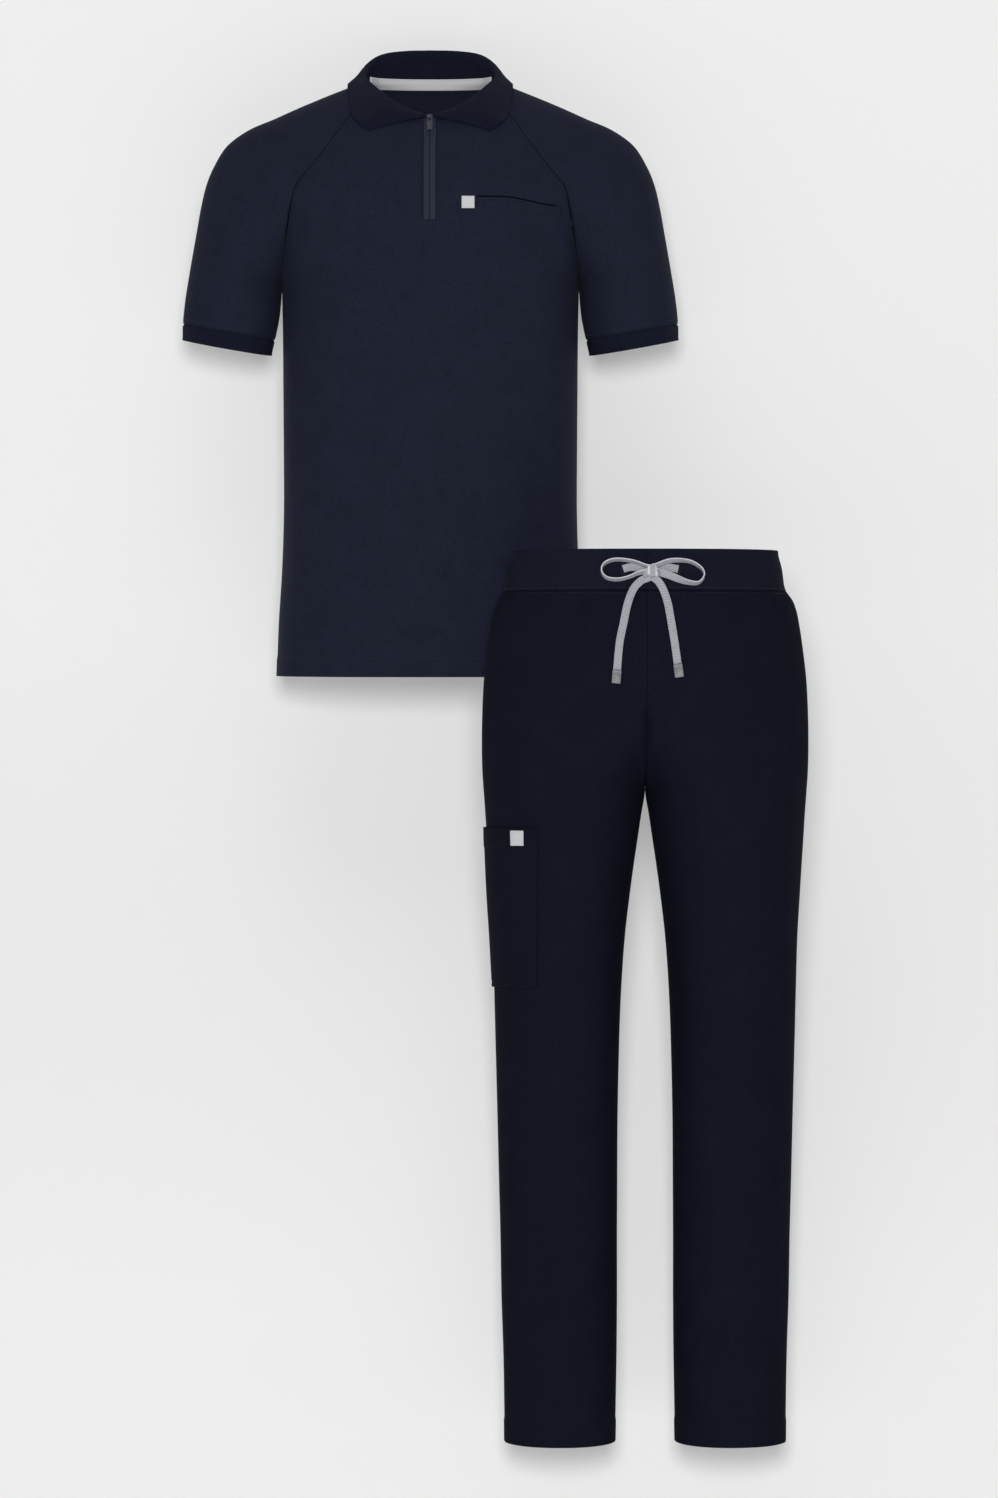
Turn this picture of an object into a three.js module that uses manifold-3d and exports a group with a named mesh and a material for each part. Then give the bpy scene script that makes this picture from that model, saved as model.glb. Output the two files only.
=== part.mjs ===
// Medical scrubs: a half-zip top with a polo collar and raglan sleeves, and drawstring trousers.
// Both are filled out and hollow, as when they are worn, the trousers lower down and in front of the top.
// Millimetres. X runs to the wearer's left, Y to the back and Z up. The origin is inside the top's neck.
import * as THREE from "three";
import { mergeVertices } from "three/addons/utils/BufferGeometryUtils.js";
import Module from "manifold-3d";

const { clamp, lerp, smoothstep } = THREE.MathUtils;

// Driving dimensions
const seamGap = 0.4; // between two pieces that are sewn together
const seamShift = 0.28; // how far each of two slanting seam edges stands back, sideways
const layGap = 0.8; // between a panel and what lies on it
const cloth = 1.4; // thickness of the woven cloth
const rib = 1.8; // thickness of the collar's knit
const bandCloth = 2.4; // thickness of the waistband
const tabCloth = 0.9; // thickness of a tab, a tape or a welt
const torsoRound = 2.5; // how square the torso's sections are, 2 is an ellipse
const neckDip = 1.6; // how the rows of the chest curve down to the centre
const zipWidth = 15.6;
const zipBottom = -159.5;
const sleeveTilt = 0.08; // the sleeve's hem is lower in front
const hemTilt = 0.025; // and so is the top's
const topHem = -697;
const hemTiltStart = -560;
const stillEdge = 0.86; // folds fade from this share of a row's half width to its seam
const foldEnd = 0.16; // a fold starts and ends at this share of a half wave
const diamondRows = 5; // rows above the underarm over which the torso's sections lose their roundness
const panelHalfColumns = 8; // of cells on each half of a panel
const armColumns = 8; // of cells on each face of a sleeve or a leg
const slider = { width: 8.2, length: 9.4, thickness: 3, round: 1.8, ease: 0.5, z: -36.5 };
const bail = { width: 2.4, length: 6, height: 3.8, wire: 1.1, corner: 0.77, sunk: 0.3 };
const pull = { width: 7, length: 18, thickness: 1.5, round: 1.6, bar: 1.5 };
const pullWindow = { width: 3.4, length: 4.6, round: 0.7 };
const tape = { top: 24.5, seam: 17.5, bottom: 11, behind: 4.6, start: 5.75, columns: 6 };
const collarShape = {
  columns: 13, // on each half
  axisY: -9, // of the neck
  foldHalf: 3.1, // half of the space between the stand and the leaf at the fold
  standBelow: 2.2, // the fold
  standLeast: 1.2,
  leafBelow: 1.6, // the fold
  bend: { share: 0.42, out: 2.2 },
  low: { share: 0.75, out: 1.6 },
};
const welt = { left: 56, right: 156, top: -132, height: 15, drop: 9, dropFrom: 84, dropTo: 152 };
const chestTab = { left: 38, top: -131, width: 15, height: 14.5 };
const trousers = { x: 252.9, y: -205 }; // where the trousers' middle is
const waistTop = -553.5;
const waistSeam = -601;
const crotch = -833;
const seatEnd = -745; // the seat starts to part into legs here
const legRound = 2.2; // how square a leg's sections are
const legTilt = 0.06; // the leg's hem is lower in front
const legHem = -1592;
const legTiltStart = -1450;
const seamEase = { inner: 14, outer: 16 }; // folds fade over this distance to a leg's seams
const waistEdge = 16; // from an edge of the waistband to the next row
const waistColumns = 44;
const cord = { thick: 5.4, sides: 8, stretch: 1.8 }; // one step of its route is stretch times thick
const cordTip = { width: 10.6, height: 15.5, thickness: 5, round: 1, ease: 0.6 };
// The cargo pocket and its tab, by angles round the leg from its outer line, positive to the front.
const pocket = { top: -876, bottom: -1062, front: 1.24, back: -0.7 };
const legTab = { angle: 0.934, size: 17.4, top: -879.2, legRadius: 84 };

// A short table: one object for each row, with named columns.
function table(names, rows) {
  return rows.map((row) => Object.fromEntries(names.map((name, i) => [name, row[i]])));
}

// The torso's half width at heights up to the underarm.
const torsoSide = table(["z", "width"], [
  [-697, 184.2],
  [-632, 181.8],
  [-575, 178.2],
  [-503, 175.8],
  [-430, 175.9],
  [-359, 176.4],
  [-272, 177.2],
  [-234, 178],
]);

// How far the middle of the front and of the back stand from the side seams' plane.
const torsoDepth = table(["z", "front", "back"], [
  [-697, 115, 112],
  [-632, 117, 110],
  [-560, 118, 104],
  [-480, 117, 98],
  [-400, 116, 97],
  [-310, 118, 103],
  [-234, 122, 110],
  [-170, 122, 114],
  [-118, 115, 110],
  [-80, 102.5, 103],
  [-36, 80, 88],
  [17, 56, 63],
]);

// The sleeve's outer line, a row for each section from its hem up to the neck.
// The fourth row is the underarm.
const sleeveTop = table(["x", "z"], [
  [297.4, -294],
  [297.2, -275],
  [294.2, -246],
  [289.2, -214.8],
  [284.6, -188],
  [280, -162],
  [275.4, -136],
  [269, -109],
  [259.3, -85.5],
  [243.5, -61],
  [217.5, -42.2],
  [187.5, -29.3],
  [157, -15.6],
  [121, -0.6],
  [84, 14],
]);
const underarm = 3;
const neck = sleeveTop.length - 1;

// The same rows at the underarm and raglan seams: place, depth from the side plane, and the depth
// of the sleeve halfway to its outer line.
const sleeveFront = table(["x", "z", "depth", "middle"], [
  [190.8, -312.8, 0, 53],
  [186.6, -294.5, 0, 55.5],
  [180.9, -266, 0, 59],
  [178.1, -234, 0, 62],
  [176.5, -215, 28, 62.5],
  [174.5, -190, 48, 63],
  [171, -165, 62, 63.5],
  [167, -140, 73, 63],
  [161.5, -117, 79, 62],
  [150, -101, 81, 60.5],
  [134, -81, 80, 57.5],
  [118, -59.5, 74, 52.5],
  [103, -38, 64, 45.5],
  [88, -20, 50, 35.5],
  [72, -4, 32, 23],
]);
const sleeveBack = table(["x", "z", "depth", "middle"], [
  [190.8, -312.8, 0, 52],
  [186.6, -294.5, 0, 54],
  [180.9, -266, 0, 57],
  [178.1, -234, 0, 60],
  [176.5, -213, 27, 60],
  [175, -187, 46, 61],
  [172, -161, 60, 62],
  [168, -134, 71, 62],
  [160, -108, 79, 62],
  [146, -84, 83, 61],
  [129, -60, 84, 59],
  [112, -37, 80, 55],
  [96, -15, 72, 49],
  [81, 4, 60, 40],
  [66, 19, 45, 30],
]);

// Half of the collar, from the zip round to the middle of the back: its fold and its outer edge.
const collarHalf = table(["foldX", "foldY", "foldZ", "edgeX", "edgeY", "edgeZ"], [
  [6, -82, -30.5, 73, -83, -50],
  [32, -73, -20, 84, -78, -43],
  [57, -52, -1.5, 92.5, -62, -28],
  [75, -22, 16, 97.5, -38, -7],
  [78.6, -6, 21.5, 99, -16, 9],
  [79, 9, 28.5, 97, 8, 15.5],
  [74.5, 35, 43, 90, 40, 15],
  [58, 51, 54.5, 72, 64, 13],
  [30, 59, 59.5, 40, 76, 9],
  [0, 61, 60.3, 0, 79, 7],
]);

// Half widths of the trousers at heights from the waist to the hem: the outer line, and the inner
// line of a leg.
const legSide = table(["z", "outer", "inner"], [
  [-1592, 164.6, 35],
  [-1565, 164.9, 34.5],
  [-1495, 166, 33.3],
  [-1424, 168.3, 32.7],
  [-1354, 169.5, 32.7],
  [-1284, 171.3, 32.4],
  [-1214, 173, 32],
  [-1144, 174.8, 30.6],
  [-1097, 176, 29.2],
  [-1050, 177.1, 26.9],
  [-1003, 178.5, 23.4],
  [-957, 181.2, 18.1],
  [-910, 184.1, 11.7],
  [-887, 185.6, 8.2],
  [-863, 187, 4.7],
  [-833, 189.2, 0],
  [-816, 190.4, 0],
  [-770, 191.3, 0],
  [-732, 190.4, 0],
  [-702, 188.7, 0],
  [-681, 186.4, 0],
  [-661, 183.8, 0],
  [-641, 180.8, 0],
  [-621, 176.6, 0],
  [-611, 172.6, 0],
  [-601, 165.4, 0],
  [-585, 161.2, 0],
  [-567, 158, 0],
  [-553, 155.2, 0],
]);

// Depths of the seat and of one leg in front of and behind the side seams' plane.
const legDepth = table(["z", "front", "back", "legFront", "legBack"], [
  [-1592, 62, 62, 62, 66],
  [-1400, 66, 66, 66, 69],
  [-1200, 74, 74, 74, 76],
  [-1050, 84, 88, 84, 88],
  [-930, 93, 101, 93, 101],
  [-833, 101, 114, 101, 114],
  [-770, 112, 126, 103, 116],
  [-700, 116, 125, 103, 116],
  [-640, 112, 116, 101, 112],
  [-601, 106, 106, 100, 106],
  [-553, 103, 101, 100, 101],
]);

// Soft folds: a ridge, or a trough where the height is below zero, from one point to another.
// The names of the faces say which cloth they are in.
const folds = table(["face", "x1", "z1", "x2", "z2", "spread", "height"], [
  ["front", -104, -250, -132, -430, 16, 3.2],
  ["front", -132, -430, -150, -520, 15, 2.4],
  ["front", -158, -250, -152, -470, 13, -3],
  ["front", 132, -245, 140, -380, 15, 2.2],
  ["front", 146, -380, 172, -545, 12, 2.6],
  ["front", 118, -400, 150, -600, 20, -3],
  ["front", -150, -205, -120, -150, 12, -2.4],
  ["front", 150, -200, 118, -152, 12, -2.2],
  ["back", -140, -220, -110, -420, 20, -3.4],
  ["back", 140, -230, 104, -440, 22, -3.2],
  ["back", -60, -500, 70, -530, 26, -2.6],
  ["leg front", -42, -705, -6, -800, 10, -3],
  ["leg front", 40, -700, 8, -800, 10, -2.8],
  ["leg front", 10, -600, 6, -690, 16, 2.6],
  ["leg front", 118, -960, 160, -1160, 16, -2.8],
  ["leg front", -70, -1180, -130, -1230, 16, -2.4],
  ["leg front", 60, -1190, 116, -1250, 18, -2.4],
  ["leg back", -60, -850, -150, -890, 16, -4],
  ["leg back", 60, -850, 150, -895, 16, -4],
  ["leg back", -60, -1150, -140, -1190, 18, -3.6],
  ["leg back", 60, -1150, 140, -1195, 18, -3.6],
]);

// The cord's route on each side: out of its buttonhole to the knot, round a loop, and down.
const cordPlaces = ["x", "y", "z"];
const cordRoutes = {
  right_stub: table(cordPlaces, [
    [225.2, -312, -577.3],
    [233, -312.5, -575.2],
    [242.3, -312.9, -575.6],
    [250.4, -313.2, -577],
  ]),
  right_loop: table(cordPlaces, [
    [250.4, -318.4, -573.4],
    [236, -317.4, -568.4],
    [217, -314.4, -566.4],
    [204.6, -311.6, -570.6],
    [200.4, -310.8, -579],
    [206, -312, -587.2],
    [219, -314.6, -589.4],
    [232, -317, -586.6],
    [242, -318.4, -582.4],
    [250.4, -318.6, -580.8],
  ]),
  right_end: table(cordPlaces, [
    [253.2, -315.2, -587.6],
    [246, -314.8, -590.8],
    [237.4, -314.6, -600],
    [230.6, -317, -617],
    [225.4, -320.4, -641],
    [221, -322.6, -663],
    [218.2, -323.8, -693.8],
  ]),
  left_stub: table(cordPlaces, [
    [289, -311.6, -577.3],
    [280, -312.3, -575.8],
    [271, -312.9, -576],
    [264.2, -313.2, -577],
  ]),
  left_loop: table(cordPlaces, [
    [264.2, -318.4, -573.4],
    [277, -317.6, -568.4],
    [291, -315.5, -567.2],
    [305, -312.6, -569.6],
    [316, -309.6, -577],
    [318.8, -309, -585.5],
    [312, -311.4, -593.2],
    [299, -313.8, -592.2],
    [287, -316.4, -588],
    [275, -318.4, -583.2],
    [264.2, -318.6, -580.8],
  ]),
  left_end: table(cordPlaces, [
    [261.2, -315.2, -587.6],
    [266.6, -314.8, -592.4],
    [272, -315, -602],
    [276.8, -317.8, -617],
    [280.4, -321, -637],
    [284.2, -323.2, -660],
    [287.9, -324.6, -686.8],
  ]),
};
const knot = { x: 257.3, y: -314.9, z: -579, width: 12.4, depth: 9, height: 15.4, round: 3, ease: 2 };

// Materials
function finish(color, roughness, metalness = 0) {
  return new THREE.MeshStandardMaterial({ color, roughness, metalness });
}
const navyTop = finish(0x1d2431, 0.86);
const navyTrousers = finish(0x141a28, 0.86);
const navyRib = finish(0x10141e, 0.92);
const zipCloth = finish(0x232b3a, 0.8);
const greyTape = finish(0xa3a7ad, 0.85);
const greyCord = finish(0xa9adb6, 0.85);
const greyTip = finish(0x74787f, 0.55);
const whiteTab = finish(0xdfe1e4, 0.8);
const darkMetal = finish(0x3a3f49, 0.38, 0.85);

const scrubs = new THREE.Group();

function add(name, geometry, material) {
  const mesh = new THREE.Mesh(geometry, material);
  mesh.name = name;
  scrubs.add(mesh);
  return mesh;
}

// A smooth curve through one column of a table, over another column or over the row numbers.
function curve(rows, name, over) {
  const at = rows.map((row, i) => (over ? row[over] : i));
  const value = rows.map((row) => row[name]);
  const last = rows.length - 1;
  const step = at.slice(1).map((x, i) => (value[i + 1] - value[i]) / (x - at[i]));
  const slope = value.map((unused, i) => {
    if (i === 0 || i === last) return step[Math.min(i, last - 1)];
    const before = at[i] - at[i - 1];
    const after = at[i + 1] - at[i];
    return (after * step[i - 1] + before * step[i]) / (before + after);
  });
  return (x) => {
    let i = 0;
    while (i < last - 1 && x > at[i + 1]) i += 1;
    const width = at[i + 1] - at[i];
    const t = clamp((x - at[i]) / width, 0, 1);
    const start = (1 + 2 * t) * (1 - t) ** 2 * value[i] + t * (1 - t) ** 2 * width * slope[i];
    const end = t * t * (3 - 2 * t) * value[i + 1] + t * t * (t - 1) * width * slope[i + 1];
    return start + end;
  };
}

// Every column of a table as curves over its row numbers.
function curves(rows) {
  return Object.fromEntries(Object.keys(rows[0]).map((name) => [name, curve(rows, name)]));
}

// How far the folds of one face lift a point of it.
function foldLift(face, x, z) {
  let lift = 0;
  for (const fold of folds) {
    if (fold.face !== face) continue;
    const dx = fold.x2 - fold.x1;
    const dz = fold.z2 - fold.z1;
    const along = ((x - fold.x1) * dx + (z - fold.z1) * dz) / (dx * dx + dz * dz);
    const t = clamp(along, 0, 1);
    const away = Math.hypot(x - fold.x1 - t * dx, z - fold.z1 - t * dz);
    const height = fold.height * Math.sin(Math.PI * lerp(foldEnd, 1 - foldEnd, t));
    lift += height * Math.exp(-((away / fold.spread) ** 2));
  }
  return lift;
}

// The outward normal at every point of a grid. Facing is -1 where its rows and columns run the
// other way round.
function gridNormals(grid, facing = 1, ring = false) {
  const lastRow = grid.length - 1;
  const count = grid[0].length;
  return grid.map((row, i) =>
    row.map((point, j) => {
      const left = ring ? row[(j + count - 1) % count] : row[Math.max(j - 1, 0)];
      const right = ring ? row[(j + 1) % count] : row[Math.min(j + 1, count - 1)];
      const across = right.clone().sub(left);
      const up = grid[Math.min(i + 1, lastRow)][j].clone().sub(grid[Math.max(i - 1, 0)][j]);
      return across.cross(up).normalize().multiplyScalar(facing);
    }),
  );
}

// A closed wall on a grid of outer points: a second skin inside it, and edges all round.
// Cells for which skip(row, column) is true are left open.
function wall(grid, normals, thickness, { facing = 1, ring = false, skip = () => false } = {}) {
  const rows = grid.length;
  const columns = grid[0].length;
  const outer = grid.flat();
  const inner = outer.map((p, k) => p.clone().addScaledVector(normals.flat()[k], -thickness));
  const faces = [];
  const edges = new Map();
  const skin = (a, b, c, d) => {
    const loop = facing > 0 ? [a, b, c, d] : [a, d, c, b];
    faces.push([loop[0], loop[1], loop[2]], [loop[0], loop[2], loop[3]]);
    loop.forEach((from, k) => edges.set(`${from} ${loop[(k + 1) % 4]}`, [from, loop[(k + 1) % 4]]));
  };
  for (let i = 0; i < rows - 1; i += 1) {
    for (let j = 0; j < (ring ? columns : columns - 1); j += 1) {
      if (skip(i, j)) continue;
      const next = (j + 1) % columns;
      skin(i * columns + j, i * columns + next, (i + 1) * columns + next, (i + 1) * columns + j);
    }
  }
  const size = rows * columns;
  const shell = faces.flatMap(([a, b, c]) => [a, b, c, a + size, c + size, b + size]);
  for (const [from, to] of edges.values()) {
    if (edges.has(`${to} ${from}`)) continue;
    shell.push(to, from, from + size, to, from + size, to + size);
  }
  const points = outer.concat(inner);
  const geometry = new THREE.BufferGeometry();
  geometry.setAttribute(
    "position",
    new THREE.Float32BufferAttribute(shell.flatMap((k) => points[k].toArray()), 3),
  );
  return geometry;
}

// The same piece on the other side of a plane across X.
function mirrored(geometry, middle = 0) {
  const copy = geometry.clone();
  const place = copy.attributes.position;
  for (let k = 0; k < place.count; k += 3) {
    const corners = [k, k + 2, k + 1].map((i) => new THREE.Vector3().fromBufferAttribute(place, i));
    corners.forEach((p, i) => place.setXYZ(k + i, 2 * middle - p.x, p.y, p.z));
  }
  return copy;
}

// A grid moved out along its normals.
function moveOut(grid, normals, distance) {
  return grid.map((row, i) => row.map((p, j) => p.clone().addScaledVector(normals[i][j], distance)));
}

// Evenly spaced numbers from one to another, both included.
function spaced(from, to, count) {
  return Array.from({ length: count + 1 }, (unused, i) => lerp(from, to, i / count));
}

// The top's front and back: where a point of a face lies. Levels below zero hold a height, and
// levels from zero up are rows between the underarm and the neck.
const torsoWidth = curve(torsoSide, "width", "z");
const faces = {
  front: {
    sign: -1,
    depth: curve(torsoDepth, "front", "z"),
    seam: curves(sleeveFront),
    neckline: -36,
  },
  back: {
    sign: 1,
    depth: curve(torsoDepth, "back", "z"),
    seam: curves(sleeveBack),
    neckline: 17,
  },
};
const outerLine = curves(sleeveTop);
const underarmZ = sleeveFront[underarm].z;

function panelRow(face, level) {
  const { seam, depth, neckline } = faces[face];
  if (level < 0) {
    const z = underarmZ + level;
    return { width: torsoWidth(z), edge: seamGap / 2, edgeZ: z, z, depth: depth(z), round: torsoRound };
  }
  const row = underarm + level;
  const top = sleeveFront.length - 1;
  const rise = (seam.z(row) - underarmZ) / (seam.z(top) - underarmZ);
  const z = lerp(underarmZ, neckline, rise);
  return {
    width: seam.x(row) - seamShift,
    edge: Math.max(seam.depth(row), seamGap / 2),
    edgeZ: seam.z(row),
    z,
    depth: depth(z),
    round: lerp(torsoRound, 1, smoothstep(level, 0, diamondRows)),
  };
}

function panelPoint(face, level, x) {
  const row = panelRow(face, level);
  const share = Math.min(Math.abs(x) / row.width, 1);
  const z = lerp(row.z, row.edgeZ, share ** neckDip);
  const bulge = (1 - share ** torsoRound) ** (1 / row.round);
  const still = 1 - smoothstep(share, stillEdge, 1);
  const depth = lerp(row.edge, row.depth, bulge) + foldLift(face, x, z) * still;
  const y = faces[face].sign * depth;
  return new THREE.Vector3(x, y, z + hemTilt * y * smoothstep(-z, -hemTiltStart, -topHem));
}

// The level of a face whose middle is at a height.
function levelAt(face, z) {
  if (z <= underarmZ) return z - underarmZ;
  let low = 0;
  let high = neck - underarm;
  for (let step = 0; step < 40; step += 1) {
    const middle = (low + high) / 2;
    if (panelRow(face, middle).z < z) low = middle;
    else high = middle;
  }
  return low;
}

// The sleeve between its seam, at share 0, and its outer line, at share 1.
function sleevePoint(face, row, share) {
  const { sign, seam } = faces[face];
  const shift = row > underarm - 0.5 ? seamShift : 0;
  const start = Math.max(seam.depth(row), seamGap / 2);
  const full = 2 * (2 * seam.middle(row) ** 2 - seam.depth(row) ** 2);
  const depth = Math.sqrt((1 - share) * (start ** 2 + full * share));
  const y = sign * depth;
  return new THREE.Vector3(
    lerp(seam.x(row) + shift, outerLine.x(row), share),
    y,
    lerp(seam.z(row), outerLine.z(row), share) + y * sleeveTilt * (1 - smoothstep(row, 0, underarm)),
  );
}

// The rows that the panels and the sleeves share above the underarm.
const zipLevel = levelAt("front", zipBottom);
const raglanLevels = [0, 0.45, 1, 1.8, 2.7, zipLevel, 4.7, 5.6, 6.6, 7.6, 8.6, 9.6, 10.3, 11];
const torsoRows = [topHem, -640, -580, -520, -460, -400, -345, -295, -260];
const torsoLevels = torsoRows.map((z) => z - underarmZ);
const panelLevels = torsoLevels.concat(raglanLevels);
function panelGrid(face) {
  const half = spaced(0, Math.PI / 2, panelHalfColumns).map(Math.sin);
  return panelLevels.map((level) => {
    const { width } = panelRow(face, level);
    const start = zipWidth / 2;
    const right = half.map((share) => lerp(start, width, share));
    const left = right.map((x) => -x).reverse();
    return left.concat(right).map((x) => panelPoint(face, level, x));
  });
}

const armShares = spaced(0, Math.PI, armColumns).map((angle) => (1 - Math.cos(angle)) / 2);

function sleeveRow(row) {
  const front = armShares.map((share) => sleevePoint("front", row, share));
  const back = armShares.slice(0, -1).map((share) => sleevePoint("back", row, share));
  front[armColumns].y = 0;
  return front.concat(back.reverse());
}

const bandTop = 1; // the sleeve table's row at the top of the band
const bandGap = 0.02; // the seam's gap there, in rows

function sleeveGrid() {
  const rows = [bandTop + bandGap, 1.7, 2.4].concat(raglanLevels.map((level) => underarm + level));
  return rows.map(sleeveRow);
}

// Two pieces that meet at a seam take the same normals there, so that their walls stay apart.
function shareNormals(first, second) {
  first.forEach((normal, i) => {
    const both = normal.clone().add(second[i]).normalize();
    normal.copy(both);
    second[i].copy(both);
  });
}

// Normals along a seam in the side plane, or in the middle plane, are held in that plane.
function hold(normals, axis) {
  for (const normal of normals) {
    normal[axis] = 0;
    normal.normalize();
  }
}

const frontGrid = panelGrid("front");
const backGrid = panelGrid("back");
const armGrid = sleeveGrid();
const frontNormals = gridNormals(frontGrid, 1);
const backNormals = gridNormals(backGrid, -1);
const armNormals = gridNormals(armGrid, 1);

function joinTopSeams() {
  const belowArm = torsoLevels.length;
  const armStart = armGrid.length - raglanLevels.length;
  const lastColumn = frontGrid[0].length - 1;
  const armLast = armGrid[0].length - 1;
  for (const [normals, armColumn] of [[frontNormals, 0], [backNormals, armLast]]) {
    const seam = normals.slice(belowArm).map((row) => row[lastColumn]);
    const arm = armNormals.slice(armStart).map((row) => row[armColumn]);
    shareNormals(seam.slice(1), arm.slice(1));
    hold(normals.slice(0, belowArm + 1).map((row) => row[lastColumn]), "y");
    hold(armNormals.slice(0, armStart + 1).map((row) => row[armColumn]), "y");
    normals.forEach((row) => row[0].set(-row[lastColumn].x, row[lastColumn].y, row[lastColumn].z));
  }
}
joinTopSeams();

function addTop() {
  const middle = panelHalfColumns; // the column of cells between the two halves
  const zipRow = panelLevels.indexOf(zipLevel);
  const slit = (i, j) => j === middle && i >= zipRow;
  add("top_front", wall(frontGrid, frontNormals, cloth, { skip: slit }), navyTop);
  add("top_back", wall(backGrid, backNormals, cloth, { facing: -1 }), navyTop);
  const sleeve = wall(armGrid, armNormals, cloth);
  add("sleeve_left", sleeve, navyTop);
  add("sleeve_right", mirrored(sleeve), navyTop);
  const band = sleeveBand();
  add("sleeve_band_left", band, navyRib);
  add("sleeve_band_right", mirrored(band), navyRib);
}

// The band round the sleeve's hem, a closed ring.
function sleeveBand() {
  const rows = [0, bandTop - bandGap].map((row) => {
    const ring = sleeveRow(row);
    ring[0].y = 0;
    ring.pop();
    return ring;
  });
  return wall(rows, gridNormals(rows, 1, true), rib, { ring: true });
}
addTop();

// Where a line along Y meets a grid, and how far out: the deepest crossing on one side.
function depthOn(grid, sign, x, z) {
  let deepest = null;
  const corner = (a, b) => (b.x - a.x) * (z - a.z) - (b.z - a.z) * (x - a.x);
  for (let i = 0; i < grid.length - 1; i += 1) {
    for (let j = 0; j < grid[0].length - 1; j += 1) {
      const [a, b, c, d] = [grid[i][j], grid[i][j + 1], grid[i + 1][j + 1], grid[i + 1][j]];
      for (const [p, q, r] of [[a, b, c], [a, c, d]]) {
        const [u, v, w] = [corner(q, r), corner(r, p), corner(p, q)];
        const inside = (u >= 0 && v >= 0 && w >= 0) || (u <= 0 && v <= 0 && w <= 0);
        const sum = u + v + w;
        if (!inside || Math.abs(sum) < 1e-6) continue;
        const y = (u * p.y + v * q.y + w * r.y) / sum;
        if (y * sign > 0 && (deepest === null || y * sign > deepest)) deepest = y * sign;
      }
    }
  }
  return deepest;
}

function bodyDepth(sign, x, z) {
  const grids = [sign < 0 ? frontGrid : backGrid, armGrid];
  const found = grids.map((grid) => depthOn(grid, sign, Math.abs(x), z)).filter((d) => d !== null);
  return found.length ? Math.max(...found) : null;
}

// The neckline: the top edges of the front, the sleeves and the back, as one ring of points.
function necklineRing() {
  const arm = armGrid[armGrid.length - 1];
  return [
    ...frontGrid[frontGrid.length - 1].slice(panelHalfColumns + 1),
    ...arm,
    ...backGrid[backGrid.length - 1].slice(panelHalfColumns + 1).reverse(),
  ];
}

function neckAngle(point) {
  return Math.atan2(point.x, -(point.y - collarShape.axisY));
}

// The point of the neckline at an angle round the neck, from 0 in front to pi behind.
function necklineAt(angle) {
  const ring = necklineRing();
  const next = ring.findIndex((p) => neckAngle(p) > angle);
  if (next < 1) return (next === 0 ? ring[0] : ring[ring.length - 1]).clone();
  const [a, b] = [ring[next - 1], ring[next]];
  return a.clone().lerp(b, (angle - neckAngle(a)) / (neckAngle(b) - neckAngle(a)));
}

const collarCurves = curves(collarHalf);

// One section of the collar, from the neckline over the fold to its outer edge.
function collarSection(station) {
  const at = (name) => collarCurves[name](station);
  const { foldHalf, standBelow, standLeast, leafBelow, bend, low } = collarShape;
  const fold = new THREE.Vector3(at("foldX"), at("foldY"), at("foldZ"));
  const edge = new THREE.Vector3(at("edgeX"), at("edgeY"), at("edgeZ"));
  const out = new THREE.Vector3(fold.x, fold.y - collarShape.axisY, 0).normalize();
  if (station < 1) out.lerp(new THREE.Vector3(0, -1, 0), 1 - station).normalize();
  const base = necklineAt(Math.max(neckAngle(fold), neckAngle(necklineRing()[0])));
  base.addScaledVector(out, -cloth - seamGap);
  base.z += seamGap;
  const inside = fold.clone().addScaledVector(out, -foldHalf);
  inside.z = Math.max(inside.z - standBelow, base.z + standLeast);
  const outside = fold.clone().addScaledVector(out, foldHalf);
  outside.z -= leafBelow;
  const between = [bend, low].map((place) =>
    outside.clone().lerp(edge, place.share).addScaledVector(out, place.out),
  );
  const leaf = [outside, ...between, edge].map((p) => clearOfBody(p));
  return [base, base.clone().lerp(inside, 0.5), inside, fold, ...leaf];
}

// A point of the leaf is kept outside the chest, the shoulders or the back.
function clearOfBody(point) {
  const sign = point.y < 0 ? -1 : 1;
  const depth = bodyDepth(sign, point.x, point.z);
  if (depth === null) return point;
  const least = depth + layGap + rib;
  return new THREE.Vector3(point.x, sign * Math.max(point.y * sign, least), point.z);
}

function addCollar() {
  const half = spaced(0, collarHalf.length - 1, collarShape.columns).map(collarSection);
  const flip = (section) => section.map((p) => new THREE.Vector3(-p.x, p.y, p.z));
  const sections = half.map(flip).concat(half.slice(0, -1).reverse());
  const grid = sections[0].map((unused, i) => sections.map((section) => section[i]));
  add("collar", wall(grid, gridNormals(grid, 1), rib), navyRib);
}
addCollar();

// The tape covers the seam inside the back neck: from the collar's stand down to the back panel.
function addTape() {
  const stations = spaced(tape.start, collarHalf.length - 1, tape.columns);
  const half = stations.map((station) => {
    const [base, , inside] = collarSection(station);
    const at = (z) => base.clone().lerp(inside, (z - base.z) / (inside.z - base.z));
    const out = new THREE.Vector3(base.x, base.y - collarShape.axisY, 0).normalize();
    const top = at(tape.top).addScaledVector(out, -layGap - tabCloth);
    const seam = at(tape.seam + layGap).addScaledVector(out, -layGap - tabCloth);
    const depth = bodyDepth(1, base.x, tape.bottom) - tape.behind;
    return [new THREE.Vector3(base.x, depth, tape.bottom), seam, top];
  });
  const flip = (section) => section.map((p) => new THREE.Vector3(-p.x, p.y, p.z));
  const sections = half.map(flip).concat(half.slice(0, -1).reverse());
  const grid = sections[0].map((unused, i) => sections.map((section) => section[i]));
  add("neck_tape", wall(grid, gridNormals(grid, 1), tabCloth), greyTape);
}
addTape();

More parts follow.
